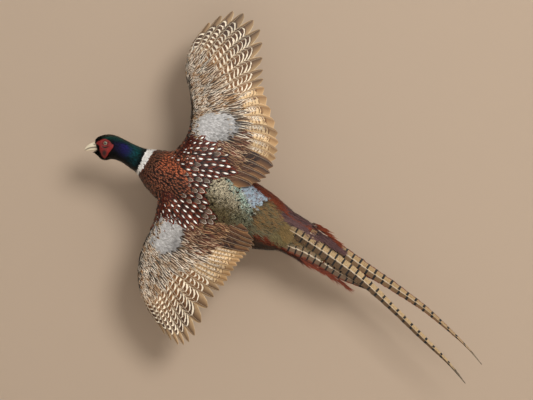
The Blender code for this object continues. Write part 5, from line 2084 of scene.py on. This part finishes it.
            # the inner feathers are sandier than the outer ones
            trait = [self.coat.chance.random(), 1.0, max(0.0, 0.75 - 0.22 * index)]
            carried.append(np.column_stack([bar.ravel()[numbers],
                                            np.tile(trait, (len(numbers), 1))]))
            bake.append(np.stack([(index + 0.04 + 0.92 * uv[:, 0]) * (1 / row.count),
                                  0.01 + 0.98 * uv[:, 1]], 1))
            shafts.add(place[:, columns // 2] - np.array([0, 0.15 * MM, 0]),
                       np.interp(np.linspace(0, 1, rows), (0, 1), (row.shaft, 0.18)) * MM)
        per = len(numbers)
        faces = (quads[None] + per * np.arange(row.count)[:, None, None]).reshape(-1, 4)
        if plan.sign > 0:
            faces = faces[:, ::-1]
        data = np.concatenate(carried)
        shades = np.tile(tint(row.finish.edge), (len(data), 1))
        piece = quad_object(
            f"vanes_{plan.side}_{row.name}", np.concatenate(points), faces, row.finish.build(),
            {"vane": np.tile(uv, (row.count, 1)), "OFBake": np.concatenate(bake)},
            {"bar": data[:, 0], "ground": shades, "accent": shades * 0.4, "trait": data[:, 1:]})
        hand_in(piece, "flight_feathers", f"wing_{plan.side}_{row.name}")
        hand_in(shafts.build(f"shafts_{plan.side}_{row.name}", ShaftFinish()), "flight_feathers")


@dataclass
class Scapulars:
    """The large spotted feathers over the shoulders, from wing to wing."""

    coat: Coat
    skin: Skin
    along: float = 13.2       # from row to row, in mm
    across: float = 10.6      # from feather to feather in a row
    raised: float = 1.6       # how far the roots are off the coat below

    def build(self) -> None:
        """Grows them in staggered rows that fan out toward each wing."""
        rng = self.coat.chance
        trees = [self.skin.ground.tree, RIGHT_WING.sheet(True).tree, LEFT_WING.sheet(True).tree]
        ground = drape((-130, 80), (-110, 130), trees)
        rows = []
        for row, back in enumerate(np.arange(-104, 30, self.along)):
            out = np.arange(-80, 104, self.across) + (0.5 * self.across if row % 2 else 0)
            rows.append(np.stack([np.full(len(out), back), out], 1))
        spots = np.concatenate(rows)
        spots = spots[inside(SCAPULAR_OUTLINE, spots[:, 0], spots[:, 1])]
        spots = spots + rng.normal(0, 0.8, spots.shape)
        back, out = spots.T
        # roots lie ahead of the visible tips
        size = np.interp(back, (-100, -70, 0, 25), (0.62, 0.8, 1.1, 1.2))
        fan = np.where(out > 0, np.interp(out, (20, 60, 95), (0, 18, 42)),
                       np.interp(out, (-75, -45, -15), (-38, -16, 0)))
        fan = fan * np.interp(back, (-95, -20, 25), (1.5, 1.0, 0.4))
        angle = np.radians(fan)
        lie = to_world(np.cos(angle), np.sin(angle), 0.0)
        length = 33 * size * rng.normal(1, 0.07, len(back))
        place = to_world(back, out, -150.0) - unit(lie) * (0.62 * length * MM)[:, None]
        hit, up = ground.snap(place)
        hit = hit + up * self.raised * MM
        middle = ramp(-np.abs(out - 12), -42, -26) * ramp(back, -66, -50)
        open_centre = (rng.random(len(back)) < 0.03 + 0.42 * middle).astype(float)
        open_centre = np.where((out < -20) & (back > 0), 1.0, open_centre)
        chestnut = mixed(tint("3A1207"), tint("6C2812"), rng.random(len(back)))
        roots = Roots.of(hit, unit(lie), length, 14.2 * size, chestnut, chestnut * 1.4,
                         mark=rng.uniform(0.75, 1.2, len(back)), kind=open_centre,
                         bend=rng.normal(0, 0.03, len(back)),
                         lift=rng.uniform(0.8, 1.6, len(back)))
        self.coat.grow("coat_scapulars", roots, LARGE, ground, SpottedFinish(), "body_feathers")


# ---- tail ---------------------------------------------------------------------------------


@dataclass(frozen=True)
class TailFeather:
    """One tail feather: its node, centre line (x, z, half width), layer, colours, bar spacing."""

    node: str
    line: tuple
    layer: float
    ground: str
    accent: str
    spacing: tuple[float, float]
    fringe: float = 0.97
    shaft: float = 0.9
    lower: float = 0.8        # how far the lower vane goes to the darker accent, as painted shade


@dataclass
class Tail:
    """Four groups of barred feathers, layered toward the wall."""

    coat: Coat
    top: float = -105.5       # depth of the uppermost feather, in mm
    gap: float = 2.4          # from one layer to the next
    bow: float = 14.0         # how far the far end bends to the wall
    feathers: tuple[TailFeather, ...] = (
        TailFeather("tail_long_left",
                    ((147, -60, 8), (170, -74, 11), (224, -110, 11.8), (281, -151.5, 10.2),
                     (338, -204, 6.8), (395, -260, 5.6), (448, -312, 3.0), (482.6, -353.4, 0.5)),
                    0.0, "CDB083", "4A3420", (14.0, 22.0), 1.3, 0.9, 0.95),
        TailFeather("tail_long_right",
                    ((186, -66, 10), (243, -99.5, 11), (300, -139, 10.5), (350, -172, 8.6),
                     (405, -211, 5.9), (450, -250, 3.6), (487, -285.5, 1.6), (514.3, -317.7, 0.5)),
                    1.0, "BE9F72", "644A30", (15.0, 23.0), 0.98, 0.9, 0.9),
        TailFeather("tail_fan_right",
                    ((184, -74, 10), (224, -98, 11), (262, -121, 10), (300, -146, 6.5),
                     (332, -166, 1.0)), 2.0, "8A6A54", "5E4434", (13.0, 15.0), 0.6, 0.2),
        TailFeather("tail_fan_left",
                    ((124, -79, 7), (148, -92, 10), (170, -100.5, 12), (205, -119, 12.5),
                     (240, -141, 11.5), (268, -157, 7.5), (296, -174, 1.0)),
                    3.0, "967C60", "5C4636", (13.0, 15.0), 0.86, 0.6, 0.75))

    def build(self) -> None:
        """Builds each feather and its shaft."""
        shafts = Tubes(6)
        for feather in self.feathers:
            self.build_feather(feather, shafts)
        hand_in(shafts.build("tail_shafts", ShaftFinish()), "tail_feathers")

    def over_rump(self, x: Array, z: Array) -> Array:
        """The depth of the rump's outside at each place, smoothed along the feather."""
        found = np.full(len(x), 0.0)
        for k in range(len(x)):
            start = Vector((x[k] * MM, -0.3, z[k] * MM))
            place = self.coat.skin.ground.tree.ray_cast(start, TOWARD_WALL, 0.3)[0]
            found[k] = place.y / MM if place is not None else 0.0
        low = np.minimum.accumulate(found[::-1])[::-1]
        soft = np.convolve(np.pad(low, 9, "edge"), np.ones(19) / 19, "valid")
        return np.minimum(soft, np.where(found < 0, found, soft))

    def build_feather(self, feather: TailFeather, shafts: Tubes) -> None:
        """One long vane with ragged edges, ridged along its shaft, which joins the others."""
        rng = self.coat.chance
        rows, columns = 150, 9
        at = np.linspace(0, len(feather.line) - 1, rows)
        x, z, half = blend_rows(feather.line, at).T
        centre = np.stack([x, z], 1)
        run = unit(np.gradient(centre, axis=0))
        steps = np.concatenate([[0], np.cumsum(np.linalg.norm(np.diff(centre, axis=0), axis=1))])
        u = np.linspace(-1, 1, columns)[None]
        ragged = 1 + 0.05 * rng.standard_normal((rows, columns)) * (np.abs(u) > 0.99)
        across = half[:, None] * u * ragged
        y = self.top + feather.layer * self.gap + self.bow * ((x - 170.0) / 340.0) ** 2
        y = np.minimum(y, self.over_rump(x, z) - 2.2 + 0.5 * feather.layer)
        lift = 0.8 * (1 - u**2) * np.minimum(1, half[:, None] / 5)
        px = x[:, None] - run[:, 1:] * across
        pz = z[:, None] + run[:, :1] * across
        py = y[:, None] - lift
        top = np.stack([px, py, pz], -1) * MM
        thin = (1 - u**2) * 0.7 * np.minimum(1, half[:, None] / 5)
        low = np.stack([px, py + thin, pz], -1) * MM
        quads, inner, numbers = closed_sheet(rows, columns)
        points = np.concatenate([top.reshape(-1, 3), low.reshape(-1, 3)[inner]])
        total = steps[-1]
        # bars are counted from the root, with a spacing that changes along the vane
        near, far = feather.spacing
        rate = 1 / (near + (far - near) * steps / total)
        phase = np.concatenate([[0], np.cumsum(0.5 * (rate[1:] + rate[:-1]) * np.diff(steps))])
        bar = np.broadcast_to(phase[:, None], (rows, columns)).reshape(-1)[numbers]
        uv = np.stack(np.broadcast_arrays(0.5 + 0.5 * u, (steps / total)[:, None]), -1)
        uv = uv.reshape(-1, 2)[numbers]
        # on the bake's map the long vane is folded into eight lanes side by side
        lane = np.minimum((uv[:, 1] * 8).astype(int), 7)
        bake = np.stack([(lane + 0.1 + 0.8 * uv[:, 0]) / 8, 0.02 + 0.96 * (uv[:, 1] * 8 - lane)], 1)
        count = len(bar)
        piece = quad_object(
            "vane_" + feather.node, points, quads, TailFinish().build(),
            {"vane": uv, "OFBake": bake},
            {"bar": bar, "ground": np.tile(tint(feather.ground), (count, 1)),
             "accent": np.tile(tint(feather.accent), (count, 1)),
             "trait": np.stack([np.full(count, rng.random()), np.full(count, feather.lower),
                                np.full(count, feather.fringe)], 1)})
        hand_in(piece, "tail_feathers", feather.node)
        line = np.stack([x, y - 0.85, z], 1) * MM
        shafts.add(line[:-4], np.interp(steps, (0, total), (feather.shaft, 0.2))[:-4] * MM)


@dataclass(frozen=True)
class Tract:
    """A strip of loose strands: its path (x, z, half width), how many, how long, and colours."""

    path: tuple
    count: int
    length: tuple[float, float]
    splay: float                # degrees that strands turn to the path's lower side
    ground: str
    accent: str
    lift: float = 1.5


@dataclass
class TailBase:
    """Loose strands where the rump ends over the tail."""

    coat: Coat
    tracts: tuple[Tract, ...] = (
        # purple over the upper long feather
        Tract(((132, -28, 7), (167, -46, 9), (196, -67, 7), (224, -87, 4), (236, -95, 1.5)),
              620, (16, 27), -2, "3A2426", "7E5C5C", 2.4),
        # rufous along its upper edge, with wisps that stand off
        Tract(((104, 10, 3), (137, -6, 4), (167, -31, 4), (209, -61, 3), (236, -86, 2)),
              300, (14, 26), -9, "4A180C", "9A4524", 1.6),
        # olive and gold tips over the long feathers' roots
        Tract(((122, -48, 14), (136, -58, 14), (142, -66, 10)),
              420, (14, 25), 3, "241C12", "A08450", 2.8),
        Tract(((108, -60, 9), (122, -76, 10), (132, -87, 8)),
              300, (12, 22), 3, "241C12", "94865A", 2.4),
        # rufous fringe under the lower feather
        Tract(((132, -94, 3), (170, -118, 3), (215, -140, 3), (252, -164, 2)),
              260, (14, 27), 8, "4A180C", "8E3E20", 0.6))

    def build(self) -> None:
        """Grows every tract on a sheet laid over rump and tail."""
        rng = self.coat.chance
        ground = drape((80, 300), (-75, 75), [self.coat.skin.ground.tree], rest=-108.0)
        parts = []
        for tract in self.tracts:
            share = rng.random(tract.count) * (len(tract.path) - 1)
            x, z, half = blend_rows(tract.path, share).T
            ahead = blend_rows(tract.path, share + 0.1) - blend_rows(tract.path, share - 0.1)
            run = unit(ahead[:, :2])
            side = rng.uniform(-1, 1, tract.count) * half
            turn = np.radians(-tract.splay + 5 * rng.standard_normal(tract.count))
            lie = np.stack([run[:, 0] * np.cos(turn) - run[:, 1] * np.sin(turn),
                            np.zeros(tract.count),
                            run[:, 0] * np.sin(turn) + run[:, 1] * np.cos(turn)], 1)
            place = np.stack([x - run[:, 1] * side, np.full(tract.count, -140.0),
                              z + run[:, 0] * side], 1) * MM
            place, _ = ground.snap(place)
            parts.append(Roots.of(place, lie, rng.uniform(*tract.length, tract.count),
                                  rng.uniform(0.9, 1.8, tract.count), tint(tract.ground),
                                  tint(tract.accent), 0.95, bend=rng.normal(0, 0.07, tract.count),
                                  lift=tract.lift * rng.uniform(0.6, 1.4, tract.count)))
        self.coat.grow("coat_tail_base", Roots.join(parts), HAIR, ground, HairFinish(),
                       "tail_feathers")


# ---- legs, stand and stage -------------------------------------------------------------------


@dataclass
class Leg:
    """One bare shank with its spur, and the curled foot with separate claws."""

    side: str
    sign: int
    axis: float = -3.0        # how far out the legs' own middle line lies
    # rows are (back, out, y, radius) in mm
    shank: tuple = ((111.6, 22.7, -51.9, 4.6), (130, 20, -53, 3.7), (160, 17, -56, 3.6),
                    (177, 15.2, -57.8, 4.4), (181, 15, -58.4, 4.0), (183, 15, -58.7, 2.0))
    spur: tuple = ((151, 16.5, -56, 2.3), (153, 13, -53, 1.9), (156, 10, -51.6, 1.2),
                   (158.5, 7.5, -50.8, 0.25))
    hind: tuple = ((179, 15, -58, 2.4), (180, 13, -50, 2.1), (176, 12, -44, 1.7))
    hind_claw: tuple = ((176.5, 12.1, -44.5, 1.3), (173.5, 12, -42, 0.9), (171, 12, -41, 0.2))
    toes: tuple = ((0, 46, 3.0), (13, 36, 2.6), (-13, 36, 2.6))   # spread, length, radius
    scute: float = 2.1        # length of one scute
    step: float = 0.1         # how far its lower edge stands out, as a share of the radius

    def toe(self, spread: float, length: float, radius: float) -> Array:
        """A front toe's rows, curling in toward the belly."""
        share = np.linspace(0, 1, 21)
        bend = np.radians(-20 + 150 * share)
        along = np.concatenate([[0], np.cumsum(length / 20 * np.cos(bend[:-1]))])
        deep = np.concatenate([[0], np.cumsum(length / 20 * np.sin(bend[:-1]))])
        out = 15 + spread * np.minimum(1.0, 1.6 * share)
        # pads swell between the joints
        thick = radius * (1 - 0.5 * share) * (1 + 0.09 * np.cos(share * 6 * math.pi))
        return np.stack([179 + along, out, -58 + deep, thick], 1)

    def add(self, rows: Any, limbs: Tubes, scuted: bool) -> None:
        """Adds a round limb along rows, ringed with scutes or smooth."""
        rows = np.asarray(rows, float)
        line = blend_rows(rows, np.linspace(0, len(rows) - 1, 120 if scuted else 24))
        centre = to_world(line[:, 0], self.axis + line[:, 1] * self.sign, line[:, 2])
        run = np.concatenate([[0], np.cumsum(np.linalg.norm(np.diff(centre, axis=0), axis=1))])
        ringed = 1 + self.step * ((run / MM / self.scute) % 1) if scuted else 1.0
        radius = line[:, 3] * MM * ringed
        radius[[0, -1]] *= 0.5
        limbs.add(centre, radius)

    def build(self) -> None:
        """Builds shank and toes in scutes, spur and claws in horn."""
        scutes, toes, horn = Tubes(12), Tubes(12), Tubes(12)
        self.add(self.shank, scutes, True)
        self.add(self.spur, horn, False)
        self.add(self.hind, toes, True)
        self.add(self.hind_claw, horn, False)
        for spread, length, radius in self.toes:
            rows = self.toe(spread, length, radius)
            self.add(rows[:17], toes, True)
            claw = rows[15:].copy()
            claw[:, 3] = np.interp(np.arange(len(claw)), (0, len(claw) - 1), (claw[0, 3] * 0.8, 0.2))
            self.add(claw, horn, False)
        for name, limbs, finish, nodes in (
                ("shank_scutes_", scutes, LEG_SCALE, ("shank_" + self.side,)),
                ("toe_scutes_", toes, LEG_SCALE, ("foot_" + self.side,)),
                ("claws_and_spur_", horn, CLAW_HORN, ())):
            hand_in(limbs.build(name + self.side, finish, sharp=35), "leg_scales", *nodes)


@dataclass
class Stand:
    """The wall plate and its rod."""

    nodes: dict[str, bpy.types.Object]

    def build(self) -> None:
        """Dresses both in what they are made of."""
        for name, finish in (("stand_plate", WALNUT), ("stand_rod", BLACK_STEEL)):
            mesh = self.nodes[name].data
            if not mesh.materials:
                mesh.materials.append(None)
            for slot in self.nodes[name].material_slots:
                slot.material = finish.build()
            LOG.info("%s: dressed in %s", name, finish.name)


@dataclass
class Stage:
    """The pale wall and floor, the soft lights and the camera."""

    distance: float = 4.0         # from the eye to the plane that is measured, in metres
    view_width: float = 1.0127    # how much of that plane the view spans
    centre: tuple[float, float] = (0.10355, -0.0038)    # x and z of the view's middle
    depth: float = -0.105         # y of the plane, the body's own middle

    def build(self) -> None:
        """Makes the stage, the lights and the camera."""
        self.build_planes()
        self.build_lights()
        camera = bpy.data.cameras.new("camera")
        camera.sensor_width = 36.0
        camera.lens = 36.0 * self.distance / self.view_width
        eye = bpy.data.objects.new("camera", camera)
        eye.location = (self.centre[0], self.depth - self.distance, self.centre[1])
        eye.rotation_euler = (math.radians(90), 0, 0)
        bpy.context.scene.collection.objects.link(eye)
        bpy.context.scene.camera = eye

    def build_planes(self) -> None:
        """A painted wall that only shows from the front, and a pale floor."""
        for name, points, code in (
                ("wall", ((-4, 0.0005, -0.9), (4, 0.0005, -0.9), (4, 0.0005, 3), (-4, 0.0005, 3)),
                 "C0AD9A"),
                ("floor", ((-4, -5, -0.9), (4, -5, -0.9), (4, 5, -0.9), (-4, 5, -0.9)),
                 "D8D0C6")):
            mesh = bpy.data.meshes.new(name)
            mesh.from_pydata(points, [], [(0, 1, 2, 3)])
            g = Graph("painted_" + name)
            material = g.dress({"Base Color": linear(code), "Roughness": 0.9})
            if name == "wall":
                behind = g("NewGeometry", out=6)
                clear = g("BsdfTransparent", (1, 1, 1, 1))
                shown = g("MixShader", behind, g.shader.outputs[0], clear)
                g.tree.links.new(shown, g.tree.nodes["Material Output"].inputs[0])
            mesh.materials.append(material)
            plane = bpy.data.objects.new(name, mesh)
            bpy.context.scene.collection.objects.link(plane)

    def build_lights(self) -> None:
        """A large soft key from the upper right, a weak fill and an even surround."""
        for name, place, size, power, code in (
                ("key", (2.1, -4.6, 2.1), 2.1, 156.0, "FFFBF5"),
                ("fill", (0.2, -2.6, -1.4), 2.4, 9.0, "F8F8FF"),
                ("back_fill", (0.4, 2.6, 0.8), 2.4, 30.0, "FFFFFF")):
            light = bpy.data.lights.new(name, "AREA")
            light.shape, light.size, light.energy = "DISK", size, power
            light.color = linear(code)[:3]
            lamp = bpy.data.objects.new(name, light)
            lamp.location = place
            toward = Vector((0.0, -0.1, 0.0)) - Vector(place)
            lamp.rotation_euler = toward.to_track_quat("-Z", "Y").to_euler()
            bpy.context.scene.collection.objects.link(lamp)
        world = bpy.data.worlds.new("surround")
        world.use_nodes = True
        world.node_tree.nodes["Background"].inputs[0].default_value = linear("E6E2DC")
        world.node_tree.nodes["Background"].inputs[1].default_value = 0.54
        bpy.context.scene.world = world
        bpy.context.scene.view_settings.view_transform = "Standard"


def main() -> None:
    """Builds the dressed bird piece by piece, then the stage."""
    logging.basicConfig(level=logging.INFO, format="%(relativeCreated)d %(message)s")
    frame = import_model()
    nodes = frame["nodes"]
    skin = Skin(nodes)
    Face(skin).build()
    skin.settle()
    coat = Coat(skin)
    BodyCoat(coat, skin).build()
    Scapulars(coat, skin).build()
    for plan, grey in ((RIGHT_WING, (-57.0, 122.0, 45.0, 27.0, 30.0)),
                       (LEFT_WING, (-57.0, 98.0, 39.0, 30.0, 74.0))):
        WingCoat(coat, plan, grey).build()
    Tail(coat).build()
    TailBase(coat).build()
    Bill().build()
    Leg("left", -1).build()
    Leg("right", 1).build()
    Stand(nodes).build()
    Stage().build()


if __name__ == "__main__":
    main()
